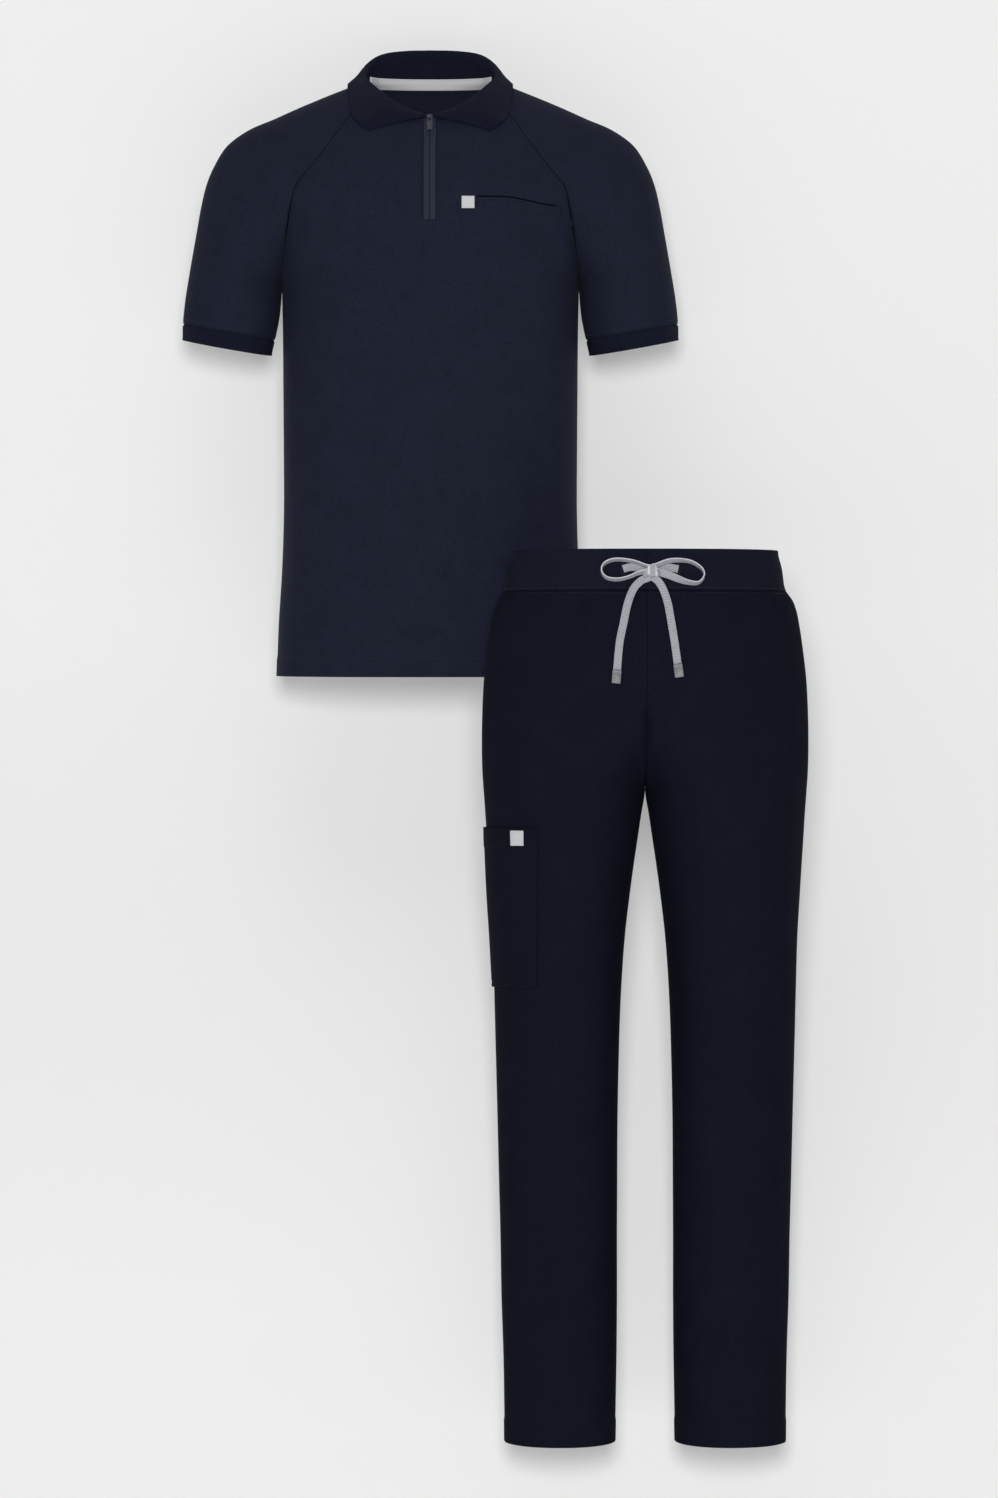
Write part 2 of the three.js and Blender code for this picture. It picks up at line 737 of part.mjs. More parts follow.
// The zip: a tape on each side of the slit, flush with the front panel.
function addZipTapes() {
  const rows = raglanLevels.filter((level) => level > zipLevel);
  const levels = [levelAt("front", zipBottom + seamGap), ...rows];
  const xs = [seamGap / 2, zipWidth / 2 - seamGap];
  const grid = levels.map((level) => xs.map((x) => panelPoint("front", level, x)));
  const strip = wall(grid, gridNormals(grid, 1), tabCloth);
  add("zip_tape_left", strip, zipCloth);
  add("zip_tape_right", mirrored(strip), zipCloth);
}
addZipTapes();

const wasm = await Module();
wasm.setup();

// A geometry as a solid that can be joined to others or cut by them.
function solid(geometry) {
  const bare = new THREE.BufferGeometry();
  bare.setAttribute("position", geometry.getAttribute("position").clone());
  bare.setIndex(geometry.getIndex());
  const merged = mergeVertices(bare, 1e-4);
  const vertProperties = new Float32Array(merged.attributes.position.array);
  const triVerts = new Uint32Array(merged.index.array);
  return new wasm.Manifold(new wasm.Mesh({ numProp: 3, vertProperties, triVerts }));
}

function geometryOf(manifold) {
  const mesh = manifold.getMesh();
  const geometry = new THREE.BufferGeometry();
  geometry.setAttribute("position", new THREE.Float32BufferAttribute(mesh.vertProperties, 3));
  geometry.setIndex(new THREE.Uint32BufferAttribute(mesh.triVerts, 1));
  return geometry;
}

// A plate from an outline in X and Z, its middle in the plane Y = 0.
function plate(shape, thickness) {
  const geometry = new THREE.ExtrudeGeometry(shape, { depth: thickness, bevelEnabled: false });
  return geometry.translate(0, 0, -thickness / 2).rotateX(Math.PI / 2);
}

// A rectangle with round corners, from a few points on each corner.
function roundedOutline(width, bottom, top, radius) {
  const corners = [
    [width / 2 - radius, bottom + radius, -Math.PI / 2],
    [width / 2 - radius, top - radius, 0],
    [radius - width / 2, top - radius, Math.PI / 2],
    [radius - width / 2, bottom + radius, Math.PI],
  ];
  const points = corners.flatMap(([x, z, start]) =>
    spaced(start, start + Math.PI / 2, 3).map(
      (angle) => new THREE.Vector2(x + radius * Math.cos(angle), z + radius * Math.sin(angle)),
    ),
  );
  return new THREE.Shape(points);
}

// A block with eased edges, its middle at the origin.
function block(width, depth, height, radius, ease) {
  const outline = roundedOutline(width - 2 * ease, ease - height / 2, height / 2 - ease, radius);
  const geometry = new THREE.ExtrudeGeometry(outline, {
    depth: depth - 2 * ease,
    bevelThickness: ease,
    bevelSize: ease,
    bevelSegments: 1,
  });
  return geometry.translate(0, 0, ease - depth / 2).rotateX(Math.PI / 2);
}

// The slider lies on the zip's top, with a bail that the pull hangs from.
function addSlider() {
  const place = panelPoint("front", levelAt("front", slider.z), 0);
  const below = panelPoint("front", levelAt("front", slider.z - slider.length), 0);
  const lean = Math.atan2(place.y - below.y, place.z - below.z);
  const body = block(slider.width, slider.thickness, slider.length, slider.round, slider.ease);
  const front = -slider.thickness / 2;
  const side = new THREE.Shape();
  const half = bail.length / 2;
  const { corner, sunk } = bail;
  side.moveTo(front + sunk, -half);
  side.lineTo(front - bail.height + corner, -half);
  side.lineTo(front - bail.height, -half + corner);
  side.lineTo(front - bail.height, half - corner);
  side.lineTo(front - bail.height + corner, half);
  side.lineTo(front + sunk, half);
  const hollow = new THREE.Path();
  hollow.moveTo(front - bail.height + bail.wire, -half + bail.wire);
  hollow.lineTo(front - sunk, -half + bail.wire);
  hollow.lineTo(front - sunk, half - bail.wire);
  hollow.lineTo(front - bail.height + bail.wire, half - bail.wire);
  side.holes.push(hollow);
  const loop = new THREE.ExtrudeGeometry(side, { depth: bail.width, bevelEnabled: false });
  loop.translate(0, 0, -bail.width / 2).rotateY(Math.PI / 2).rotateX(Math.PI / 2);
  const mesh = add("zip_slider", geometryOf(solid(body).add(solid(loop))), darkMetal);
  const out = new THREE.Vector3(0, -Math.cos(lean), Math.sin(lean));
  mesh.position.copy(place).addScaledVector(out, seamGap + slider.thickness / 2);
  mesh.rotation.x = -lean;

  const tongue = roundedOutline(pull.width, -pull.length, pull.bar / 2, pull.round);
  const windowTop = -pull.bar / 2;
  const { width, length, round } = pullWindow;
  tongue.holes.push(roundedOutline(width, windowTop - length, windowTop, round));
  const pullMesh = add("zip_pull", plate(tongue, pull.thickness), darkMetal);
  const reach = slider.thickness + seamGap + (bail.height - bail.wire + sunk) / 2;
  pullMesh.position.copy(place).addScaledVector(out, reach);
  pullMesh.rotation.x = -lean;
}
addSlider();

// A patch on the chest, its outline given by a function of two shares, from 0 to 1.
function chestPatch(place, columns, rows, lift) {
  const grid = spaced(0, 1, rows).map((up) =>
    spaced(0, 1, columns).map((along) => {
      const { x, z } = place(along, up);
      return new THREE.Vector3(x, -bodyDepth(-1, x, z), z);
    }),
  );
  const normals = gridNormals(grid, 1);
  return wall(moveOut(grid, normals, lift + tabCloth), normals, tabCloth);
}

function addChestPocket() {
  const top = (x) => welt.top - welt.drop * smoothstep(x, welt.dropFrom, welt.dropTo);
  const strip = (along, up) => {
    const x = lerp(welt.left, welt.right, along);
    return { x, z: top(x) - welt.height * (1 - up) };
  };
  add("chest_pocket_welt", chestPatch(strip, 10, 1, layGap), navyTop);
  const square = (along, up) => ({
    x: chestTab.left + chestTab.width * along,
    z: chestTab.top - chestTab.height * (1 - up),
  });
  add("chest_tab", chestPatch(square, 1, 1, layGap), whiteTab);
}
addChestPocket();

// The trousers. A point of a leg's face is given by its height and by X from the middle seam.
const legOuter = curve(legSide, "outer", "z");
const legInner = curve(legSide, "inner", "z");
const seatDepth = { front: curve(legDepth, "front", "z"), back: curve(legDepth, "back", "z") };
const tubeDepth = { front: curve(legDepth, "legFront", "z"), back: curve(legDepth, "legBack", "z") };

function roundness(share, power) {
  return Math.max(0, 1 - Math.abs(share) ** power) ** (1 / power);
}

function legPoint(face, side, z, x) {
  const outer = legOuter(z);
  const inner = Math.max(legInner(z), 0);
  const parting = clamp((seatEnd - z) / (seatEnd - crotch), 0, 1);
  const middle = (outer + inner) / 2;
  const tube = tubeDepth[face](z) * roundness((x - middle) / (outer - middle), legRound);
  const seat = seatDepth[face](z) * roundness(x / outer, torsoRound);
  const fade = (1 - parting ** 2) ** 1.5;
  const both = Math.cbrt(tube ** 3 * (1 - fade) + seat ** 3 * fade);
  const inward = smoothstep(x, inner, inner + seamEase.inner);
  const outward = 1 - smoothstep(x, outer - seamEase.outer, outer);
  const calm = outward * (z > seatEnd ? 1 : inward);
  const depth = Math.max(both + foldLift(`leg ${face}`, side * x, z) * calm, seamGap / 2);
  const y = (face === "front" ? -1 : 1) * depth;
  const lower = legTilt * y * smoothstep(-z, -legTiltStart, -legHem);
  return new THREE.Vector3(trousers.x + side * x, trousers.y + y, z + lower);
}

const legRows = [
  legHem, -1510, -1420, -1330, -1250, -1180, -1110, -1050, -990, -935, -890, -858, crotch,
  -827, -814, -796, -775, -750, -722, -694, -666, -642, -622, -610, waistSeam - seamGap,
];
const crotchRow = legRows.indexOf(crotch);

function legGrid(face, side) {
  return legRows.map((z) => {
    const inner = Math.max(legInner(z), seamGap / 2);
    return armShares.map((share) => legPoint(face, side, z, lerp(inner, legOuter(z), share)));
  });
}

// The wall's normals at the leg's seams are held in the seam's own plane.
function legNormals(grid, facing) {
  const normals = gridNormals(grid, facing);
  hold(normals.map((row) => row[armColumns]), "y");
  hold(normals.slice(0, crotchRow).map((row) => row[0]), "y");
  hold(normals.slice(crotchRow + 1).map((row) => row[0]), "x");
  normals[crotchRow][0].set(0, 0, -1);
  return normals;
}

function addLegs() {
  for (const [name, side] of [["left", 1], ["right", -1]]) {
    for (const [face, sign] of [["front", 1], ["back", -1]]) {
      const facing = sign * side;
      const grid = legGrid(face, side);
      const piece = wall(grid, legNormals(grid, facing), cloth, { facing });
      add(`leg_${face}_${name}`, piece, navyTrousers);
    }
  }
}
addLegs();

// The waistband, a closed ring that stands on the legs' top edges.
function addWaistband() {
  const rows = [waistSeam, waistSeam + waistEdge, waistTop - waistEdge, waistTop].map((z) =>
    spaced(0, 2 * Math.PI, waistColumns).slice(0, -1).map((angle) => {
      const [across, along] = [Math.sin(angle), Math.cos(angle)];
      const depth = along > 0 ? seatDepth.front(z) : seatDepth.back(z);
      const power = 2 / torsoRound;
      const x = legOuter(z) * Math.sign(across) * Math.abs(across) ** power;
      const y = -depth * Math.sign(along) * Math.abs(along) ** power;
      return new THREE.Vector3(trousers.x + x, trousers.y + y, z);
    }),
  );
  const normals = gridNormals(rows, 1, true);
  normals.forEach((row) => hold(row, "z"));
  add("waistband", wall(rows, normals, bandCloth, { ring: true }), navyTrousers);
}
addWaistband();

// A point of the right leg at an angle round it from its outer line, positive to the front.
function roundLeg(angle, z) {
  const outer = legOuter(z);
  const middle = (outer + Math.max(legInner(z), 0)) / 2;
  const x = middle + (outer - middle) * Math.cos(angle);
  const point = legPoint(angle < 0 ? "back" : "front", -1, z, x);
  if (angle === 0) point.y = trousers.y;
  return point;
}

function addCargoPocket() {
  const { top, bottom, front, back } = pocket;
  const angles = [back, back / 2, 0, front / 5, front / 2.5, (front * 3) / 5, front * 0.8, front];
  const heights = spaced(0, 1, 6);
  const grid = heights.map((up) => angles.map((angle) => roundLeg(angle, lerp(bottom, top, up))));
  const normals = gridNormals(grid, 1);
  const lifted = moveOut(grid, normals, layGap + cloth);
  add("cargo_pocket", wall(lifted, normals, cloth), navyTrousers);

  const half = legTab.size / 2 / legTab.legRadius;
  const corners = [legTab.top - legTab.size, legTab.top].map((z) =>
    [legTab.angle - half, legTab.angle + half].map((angle) => roundLeg(angle, z)),
  );
  const tabNormals = gridNormals(corners, 1);
  const lift = layGap + cloth + layGap + tabCloth;
  add("leg_tab", wall(moveOut(corners, tabNormals, lift), tabNormals, tabCloth), whiteTab);
}
addCargoPocket();

// The drawstring: a cord in six stretches, the knot and two tips.
function addDrawstring() {
  const section = new THREE.Shape(
    spaced(0, 2 * Math.PI, cord.sides).slice(0, -1).map((angle) => {
      const radius = cord.thick / 2;
      return new THREE.Vector2(radius * Math.cos(angle), radius * Math.sin(angle));
    }),
  );
  for (const [name, route] of Object.entries(cordRoutes)) {
    const points = route.map((p) => new THREE.Vector3(p.x, p.y, p.z));
    const extrudePath = new THREE.CatmullRomCurve3(points);
    const steps = Math.max(3, Math.round(extrudePath.getLength() / (cord.stretch * cord.thick)));
    add(`cord_${name}`, new THREE.ExtrudeGeometry(section, { steps, extrudePath }), greyCord);
  }
  const lump = block(knot.width, knot.depth, knot.height, knot.round, knot.ease);
  add("cord_knot", lump, greyCord).position.set(knot.x, knot.y, knot.z);
  for (const side of ["right", "left"]) {
    const last = cordRoutes[`${side}_end`].slice(-2);
    const [before, end] = last.map((p) => new THREE.Vector3(p.x, p.y, p.z));
    const down = end.clone().sub(before).normalize();
    const { width, thickness, height, round, ease } = cordTip;
    const shape = block(width, thickness, height, round, ease);
    const tip = add(`cord_tip_${side}`, shape, greyTip);
    tip.position.copy(end).addScaledVector(down, seamGap + height / 2);
    tip.quaternion.setFromUnitVectors(new THREE.Vector3(0, 0, -1), down);
  }
}
addDrawstring();

export default scrubs;
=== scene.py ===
import math
import random

import bmesh
import bpy
from mathutils import Matrix, Vector, noise
from mathutils.bvhtree import BVHTree


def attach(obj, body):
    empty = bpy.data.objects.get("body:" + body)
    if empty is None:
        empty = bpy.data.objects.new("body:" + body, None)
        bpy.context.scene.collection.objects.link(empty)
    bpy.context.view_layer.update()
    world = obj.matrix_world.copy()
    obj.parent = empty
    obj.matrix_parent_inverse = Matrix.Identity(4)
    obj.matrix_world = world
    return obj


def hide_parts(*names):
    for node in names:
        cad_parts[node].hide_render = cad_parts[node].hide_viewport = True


# Medical scrubs: a half-zip top with a polo collar, and drawstring trousers.
# +X is the wearer's left, -Y the front and +Z up. The tables are in millimetres, the meshes in metres.
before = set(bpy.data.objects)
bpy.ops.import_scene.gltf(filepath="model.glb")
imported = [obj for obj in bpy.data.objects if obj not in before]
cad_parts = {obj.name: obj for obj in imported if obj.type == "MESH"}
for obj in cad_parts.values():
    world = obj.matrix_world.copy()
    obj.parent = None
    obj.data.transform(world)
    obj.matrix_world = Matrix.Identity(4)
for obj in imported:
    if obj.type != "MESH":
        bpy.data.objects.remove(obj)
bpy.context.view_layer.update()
scene = bpy.context.scene
random.seed(11)
mm = 0.001
body = "garments"


# Small helpers

def mix(a, b, t):
    return a + (b - a) * t


def clamp(x, low, high):
    return max(low, min(high, x))


def smoothstep(x, low, high):
    t = clamp((x - low) / (high - low), 0, 1)
    return t * t * (3 - 2 * t)


def spaced(start, end, count):
    return [mix(start, end, i / count) for i in range(count + 1)]


def table(names, rows):
    return [dict(zip(names.split(), row)) for row in rows]


def curve(rows, name, over=None):
    # a smooth curve through one column of a table, over another column or over the row numbers
    at = [row[over] if over else i for i, row in enumerate(rows)]
    value = [row[name] for row in rows]
    last = len(rows) - 1
    step = [(value[i + 1] - value[i]) / (at[i + 1] - at[i]) for i in range(last)]
    slope = [step[0]]
    for i in range(1, last):
        before, after = at[i] - at[i - 1], at[i + 1] - at[i]
        slope.append((after * step[i - 1] + before * step[i]) / (before + after))
    slope.append(step[-1])

    def valueAt(x):
        i = 0
        while i < last - 1 and x > at[i + 1]:
            i += 1
        width = at[i + 1] - at[i]
        t = clamp((x - at[i]) / width, 0, 1)
        start = (1 + 2 * t) * (1 - t) ** 2 * value[i] + t * (1 - t) ** 2 * width * slope[i]
        end = t * t * (3 - 2 * t) * value[i + 1] + t * t * (t - 1) * width * slope[i + 1]
        return start + end

    return valueAt


def curves(rows):
    return {name: curve(rows, name) for name in rows[0]}


# Materials

def newMaterial(name):
    material = bpy.data.materials.new(name)
    material.use_nodes = True
    nodes = material.node_tree.nodes
    return material, nodes, material.node_tree.links, nodes["Principled BSDF"]


def link(links, fromNode, output, toNode, socket):
    links.new(fromNode.outputs[output], toNode.inputs[socket])


def clothMaterial(name, look):
    # dark and light yarn mottled over the cloth, with a weave or rib raised along its own UV map, and painted
    # shade darkening the weave's low bands
    material, nodes, links, shader = newMaterial(name)
    shader.inputs["Roughness"].default_value = look["roughness"]
    shader.inputs["Specular IOR Level"].default_value = look.get("specular", 0.3)
    shader.inputs["Sheen Weight"].default_value = look["sheen"]
    shader.inputs["Sheen Roughness"].default_value = 0.45
    shader.inputs["Sheen Tint"].default_value = (*look["sheenTint"], 1)

    place = nodes.new("ShaderNodeTexCoord")
    patches = nodes.new("ShaderNodeTexNoise")
    patches.inputs["Scale"].default_value = 1 / look["patch"]
    patches.inputs["Detail"].default_value = 4
    link(links, place, "Object", patches, "Vector")
    yarn = nodes.new("ShaderNodeTexNoise")
    yarn.inputs["Scale"].default_value = 1 / look["yarn"]
    yarn.inputs["Detail"].default_value = 2
    link(links, place, "Object", yarn, "Vector")
    tone = nodes.new("ShaderNodeMix")
    tone.inputs["Factor"].default_value = 0.82
    link(links, patches, "Fac", tone, "A")
    link(links, yarn, "Fac", tone, "B")
    colours = nodes.new("ShaderNodeValToRGB")
    colours.color_ramp.elements[0].position = 0.36
    colours.color_ramp.elements[0].color = (*look["dark"], 1)
    colours.color_ramp.elements[1].position = 0.64
    colours.color_ramp.elements[1].color = (*look["light"], 1)
    link(links, tone, "Result", colours, "Fac")

    uv = nodes.new("ShaderNodeUVMap")
    uv.uv_map = "weave"
    first = nodes.new("ShaderNodeTexWave")
    first.bands_direction = look["bands"][0]
    first.inputs["Scale"].default_value = 0.31416 / look["pitch"]
    first.inputs["Distortion"].default_value = look.get("uneven", 0.4)
    link(links, uv, "UV", first, "Vector")
    second = nodes.new("ShaderNodeTexWave")
    second.bands_direction = look["bands"][1]
    second.inputs["Scale"].default_value = 0.31416 / look.get("crossPitch", look["pitch"])
    second.inputs["Distortion"].default_value = 0.6
    link(links, uv, "UV", second, "Vector")
    weave = nodes.new("ShaderNodeMix")
    weave.inputs["Factor"].default_value = look["cross"]
    link(links, first, "Fac", weave, "A")
    link(links, second, "Fac", weave, "B")
    # painted shade: the yarn colour is darkened where the weave or rib is low
    shade = nodes.new("ShaderNodeMix")
    shade.data_type = "RGBA"
    shade.blend_type = "MULTIPLY"
    shade.inputs["Factor"].default_value = look["valleyShade"]
    link(links, colours, "Color", shade, "A")
    links.new(weave.outputs["Result"], shade.inputs["B"])
    links.new(shade.outputs[2], shader.inputs["Base Color"])
    if "rim" in look:
        paintedRimHighlights(nodes, links, look["rim"], uv, shade, shader)
    raised = nodes.new("ShaderNodeBump")
    raised.inputs["Strength"].default_value = look["raise"]
    raised.inputs["Distance"].default_value = look["height"]
    link(links, weave, "Result", raised, "Height")
    wrinkle = nodes.new("ShaderNodeTexNoise")
    wrinkle.inputs["Scale"].default_value = 55
    wrinkle.inputs["Detail"].default_value = 3
    link(links, place, "Object", wrinkle, "Vector")
    creased = nodes.new("ShaderNodeBump")
    creased.inputs["Strength"].default_value = look.get("wrinkle", 0.25)
    creased.inputs["Distance"].default_value = 0.0012
    link(links, wrinkle, "Fac", creased, "Height")
    link(links, raised, "Normal", creased, "Normal")
    link(links, creased, "Normal", shader, "Normal")
    return material


def paintedRimHighlights(nodes, links, rim, uv, shade, shader):
    # a tape's two edges are painted paler, a painted highlight on its thicker edges: they lie at whole widths
    # along the map that runs round it
    parts = nodes.new("ShaderNodeSeparateXYZ")
    link(links, uv, "UV", parts, "Vector")
    turns = nodes.new("ShaderNodeMath")
    turns.operation = "MULTIPLY"
    turns.inputs[1].default_value = 2 * math.pi / rim["width"]
    link(links, parts, "X", turns, 0)
    wave = nodes.new("ShaderNodeMath")
    wave.operation = "COSINE"
    link(links, turns, "Value", wave, 0)
    near = nodes.new("ShaderNodeMapRange")
    near.inputs["From Min"].default_value = rim["from"]
    link(links, wave, "Value", near, "Value")
    both = nodes.new("ShaderNodeMix")
    both.data_type = "RGBA"
    both.inputs[7].default_value = (*rim["tone"], 1)
    link(links, near, "Result", both, "Factor")
    links.new(shade.outputs[2], both.inputs[6])
    links.new(both.outputs[2], shader.inputs["Base Color"])


def hardMaterial(name, colour, roughness, metallic, worn):
    # satin metal or plastic, a little lighter and rougher in patches
    material, nodes, links, shader = newMaterial(name)
    shader.inputs["Metallic"].default_value = metallic
    place = nodes.new("ShaderNodeTexCoord")
    wear = nodes.new("ShaderNodeTexNoise")
    wear.inputs["Scale"].default_value = 420
    wear.inputs["Detail"].default_value = 5
    link(links, place, "Object", wear, "Vector")
    tones = nodes.new("ShaderNodeValToRGB")
    tones.color_ramp.elements[0].position = 0.42
    tones.color_ramp.elements[0].color = (*colour, 1)
    tones.color_ramp.elements[1].position = 0.72
    tones.color_ramp.elements[1].color = (*worn, 1)
    link(links, wear, "Fac", tones, "Fac")
    link(links, tones, "Color", shader, "Base Color")
    rough = nodes.new("ShaderNodeMapRange")
    rough.inputs["To Min"].default_value = roughness * 0.8
    rough.inputs["To Max"].default_value = roughness * 1.3
    link(links, wear, "Fac", rough, "Value")
    link(links, rough, "Result", shader, "Roughness")
    return material


plainWeave = {
    "yarn": 0.0011, "bands": ("DIAGONAL", "X"), "pitch": 0.0009, "cross": 0.35, "valleyShade": 0.25,
    "raise": 0.25, "height": 0.0002, "sheenTint": (0.62, 0.68, 0.85),
}
navyTop = clothMaterial("navyTopWeave", {
    **plainWeave, "dark": (0.0112, 0.0134, 0.0280), "light": (0.0200, 0.0235, 0.0445), "patch": 0.03,
    "roughness": 0.78, "sheen": 0.02, "specular": 0.04,
})
navyTrousers = clothMaterial("navyTrouserWeave", {
    **plainWeave, "dark": (0.0064, 0.0074, 0.0148), "light": (0.0106, 0.0122, 0.0228), "patch": 0.04,
    "roughness": 0.8, "sheen": 0.005, "specular": 0.015,
})
# a lighter copy of the trouser cloth for the waistband: painted light on the waistband, which is the trousers'
# own cloth
navyWaistLit = clothMaterial("navyWaistbandLitWeave", {
    **plainWeave, "dark": (0.0080, 0.0092, 0.0186), "light": (0.0134, 0.0154, 0.0290), "patch": 0.04,
    "roughness": 0.8, "sheen": 0.01, "specular": 0.02,
})
ribKnit = clothMaterial("navyRibKnit", {
    "dark": (0.0080, 0.0096, 0.0215), "light": (0.0152, 0.0180, 0.0368), "patch": 0.02, "yarn": 0.0009,
    "bands": ("X", "Y"), "pitch": 0.0021, "crossPitch": 0.0012, "cross": 0.18, "valleyShade": 0.45,
    "raise": 0.7, "height": 0.0007, "roughness": 0.86, "sheen": 0.02, "sheenTint": (0.62, 0.68, 0.85),
    "uneven": 0.15, "wrinkle": 0.1, "specular": 0.04,
})
zipCloth = clothMaterial("zipTapeWeave", {
    "dark": (0.0205, 0.0225, 0.0440), "light": (0.0325, 0.0355, 0.0620), "patch": 0.02, "yarn": 0.0008,
    "bands": ("Y", "X"), "pitch": 0.0007, "cross": 0.4, "valleyShade": 0.25, "raise": 0.35,
    "height": 0.0002, "roughness": 0.72, "sheen": 0.04, "sheenTint": (0.7, 0.75, 0.9), "wrinkle": 0.05,
    "specular": 0.15,
})
greyTape = clothMaterial("greyTwillTape", {
    "dark": (0.68, 0.68, 0.71), "light": (0.80, 0.80, 0.83), "patch": 0.01, "yarn": 0.0007,
    "bands": ("DIAGONAL", "Y"), "pitch": 0.0011, "cross": 0.3, "valleyShade": 0.2, "raise": 0.5,
    "height": 0.0002, "roughness": 0.8, "sheen": 0.1, "sheenTint": (0.9, 0.9, 0.95), "wrinkle": 0.05,
})
whiteTab = clothMaterial("whiteWovenTab", {
    "dark": (0.60, 0.61, 0.63), "light": (0.74, 0.75, 0.77), "patch": 0.01, "yarn": 0.0006,
    "bands": ("X", "Y"), "pitch": 0.0006, "cross": 0.5, "valleyShade": 0.12, "raise": 0.35,
    "height": 0.00015, "roughness": 0.7, "sheen": 0.05, "sheenTint": (1, 1, 1), "wrinkle": 0.05,
})
cordWeave = clothMaterial("greyCordWeave", {
    "dark": (0.40, 0.41, 0.46), "light": (0.56, 0.57, 0.62), "patch": 0.006, "yarn": 0.0007,
    "bands": ("DIAGONAL", "Y"), "pitch": 0.0017, "crossPitch": 0.0013, "cross": 0.4, "valleyShade": 0.35,
    "raise": 0.8, "height": 0.0005, "roughness": 0.8, "sheen": 0.15, "sheenTint": (0.95, 0.95, 1),
    "wrinkle": 0.1, "rim": {"width": 0.0089, "from": 0.35, "tone": (0.80, 0.81, 0.87)},
})
threadLook = {
    "patch": 0.01, "yarn": 0.0005, "bands": ("DIAGONAL", "X"), "pitch": 0.0005, "cross": 0.3,
    "valleyShade": 0.15, "raise": 0.2, "height": 0.0001, "roughness": 0.6, "sheen": 0.1,
    "sheenTint": (0.8, 0.85, 1), "wrinkle": 0.0,
}
navyThread = clothMaterial("navyThread", {
    **threadLook, "dark": (0.014, 0.017, 0.033), "light": (0.023, 0.027, 0.050), "specular": 0.1,
})
seamThread = clothMaterial("darkSeamThread", {
    **threadLook, "dark": (0.0050, 0.0060, 0.0150), "light": (0.0085, 0.0100, 0.0230), "sheen": 0.02,
    "specular": 0.05,
})
greyThread = clothMaterial("greyThread", {
    **threadLook, "dark": (0.42, 0.43, 0.46), "light": (0.55, 0.56, 0.59),
})
darkMetal = hardMaterial("darkZipMetal", (0.050, 0.052, 0.068), 0.42, 0.85, (0.115, 0.120, 0.145))
greyTip = hardMaterial("greyCordTip", (0.20, 0.205, 0.22), 0.5, 0.0, (0.30, 0.305, 0.32))
# a near-black cloth laid where a pocket's mouth, a buttonhole or a seam lies in shade: painted shade
paintedShade = clothMaterial("paintedGapShade", {
    **threadLook, "dark": (0.0018, 0.0020, 0.0042), "light": (0.0030, 0.0034, 0.0068), "sheen": 0.0,
    "specular": 0.0,
})


# Making pieces

def finishPiece(name, bm, material, slot, rides=body, nodes=(), smooth=True):
    mesh = bpy.data.meshes.new(name)
    bm.to_mesh(mesh)
    bm.free()
    mesh.materials.append(material)
    mesh.shade_smooth() if smooth else mesh.shade_flat()
    piece = bpy.data.objects.new(name, mesh)
    scene.collection.objects.link(piece)
    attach(piece, rides)
    if nodes:
        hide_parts(*nodes)
    return piece


def addThickness(piece, thickness):
    wall = piece.modifiers.new("thickness", "SOLIDIFY")
    wall.thickness = thickness * mm
    wall.offset = -1
    return wall


def clothPiece(name, columns, rows, place, options):
    # a grid of columns and rows, each point put in place by its numbers, then raised by its relief
    bm = bmesh.new()
    bmesh.ops.create_grid(bm, x_segments=columns, y_segments=rows, size=0.5)
    weave = bm.loops.layers.uv.new("weave")
    number = {v: (round((v.co.x + 0.5) * columns), round((v.co.y + 0.5) * rows)) for v in bm.verts}
    for v, (i, j) in number.items():
        v.co = place(i, j) * mm
    at = {ij: v.co for v, ij in number.items()}
    across, along = [0.0], [0.0]
    for i in range(columns):
        across.append(across[-1] + (at[i + 1, rows // 2] - at[i, rows // 2]).length)
    for j in range(rows):
        along.append(along[-1] + (at[columns // 2, j + 1] - at[columns // 2, j]).length)
    for face in bm.faces:
        for loop in face.loops:
            i, j = number[loop.vert]
            loop[weave].uv = (across[i], along[j])
    if options.get("facing", 1) < 0:
        bmesh.ops.reverse_faces(bm, faces=bm.faces)
    relief = options.get("relief")
    if relief:
        bm.normal_update()
        moved = [(v, v.co + v.normal * relief(*number[v]) * mm) for v in bm.verts]
        for v, spot in moved:
            v.co = spot
    skip = options.get("skip")
    if skip:
        gone = [f for f in bm.faces if skip(*(min(number[v][k] for v in f.verts) for k in (0, 1)))]
        bmesh.ops.delete(bm, geom=gone, context="FACES")
    if options.get("ring"):
        bmesh.ops.remove_doubles(bm, verts=bm.verts, dist=1e-6)
    bm.normal_update()
    tree = BVHTree.FromBMesh(bm)
    area = sum(face.calc_area() for face in bm.faces)
    piece = finishPiece(name, bm, options["material"], options["slot"], nodes=options.get("nodes", ()))
    addThickness(piece, options["thickness"])
    cut = options.get("cut")
    if cut:
        cut.get("held", "hung")
        cut.get("area")
    print(f"{name}: {area:.4f} m2")
    return piece, tree


def onSurface(trees, spot, lift=0.0):
    # the nearest point of several skins to a spot, moved out, with the normal there; all in millimetres
    best = None
    for tree in trees:
        found = tree.find_nearest(spot * mm)
        if found[0] is not None and (best is None or found[3] < best[3]):
            best = found
    return best[0] / mm + best[1] * lift, best[1]


def rayDepth(trees, x, z, sign):
    # the outermost skin at a place seen from the front (sign -1) or the back
    deepest = None
    for tree in trees:
        hit = tree.ray_cast(Vector((x * mm, sign * 0.6, z * mm)), Vector((0, -sign, 0)))[0]
        if hit is not None and hit.y * sign > 0 and (deepest is None or hit.y * sign > deepest):
            deepest = hit.y * sign
    return None if deepest is None else deepest / mm


stitch = {"length": 2.7, "gap": 0.9, "width": 0.55, "height": 0.34, "sunk": 0.1}


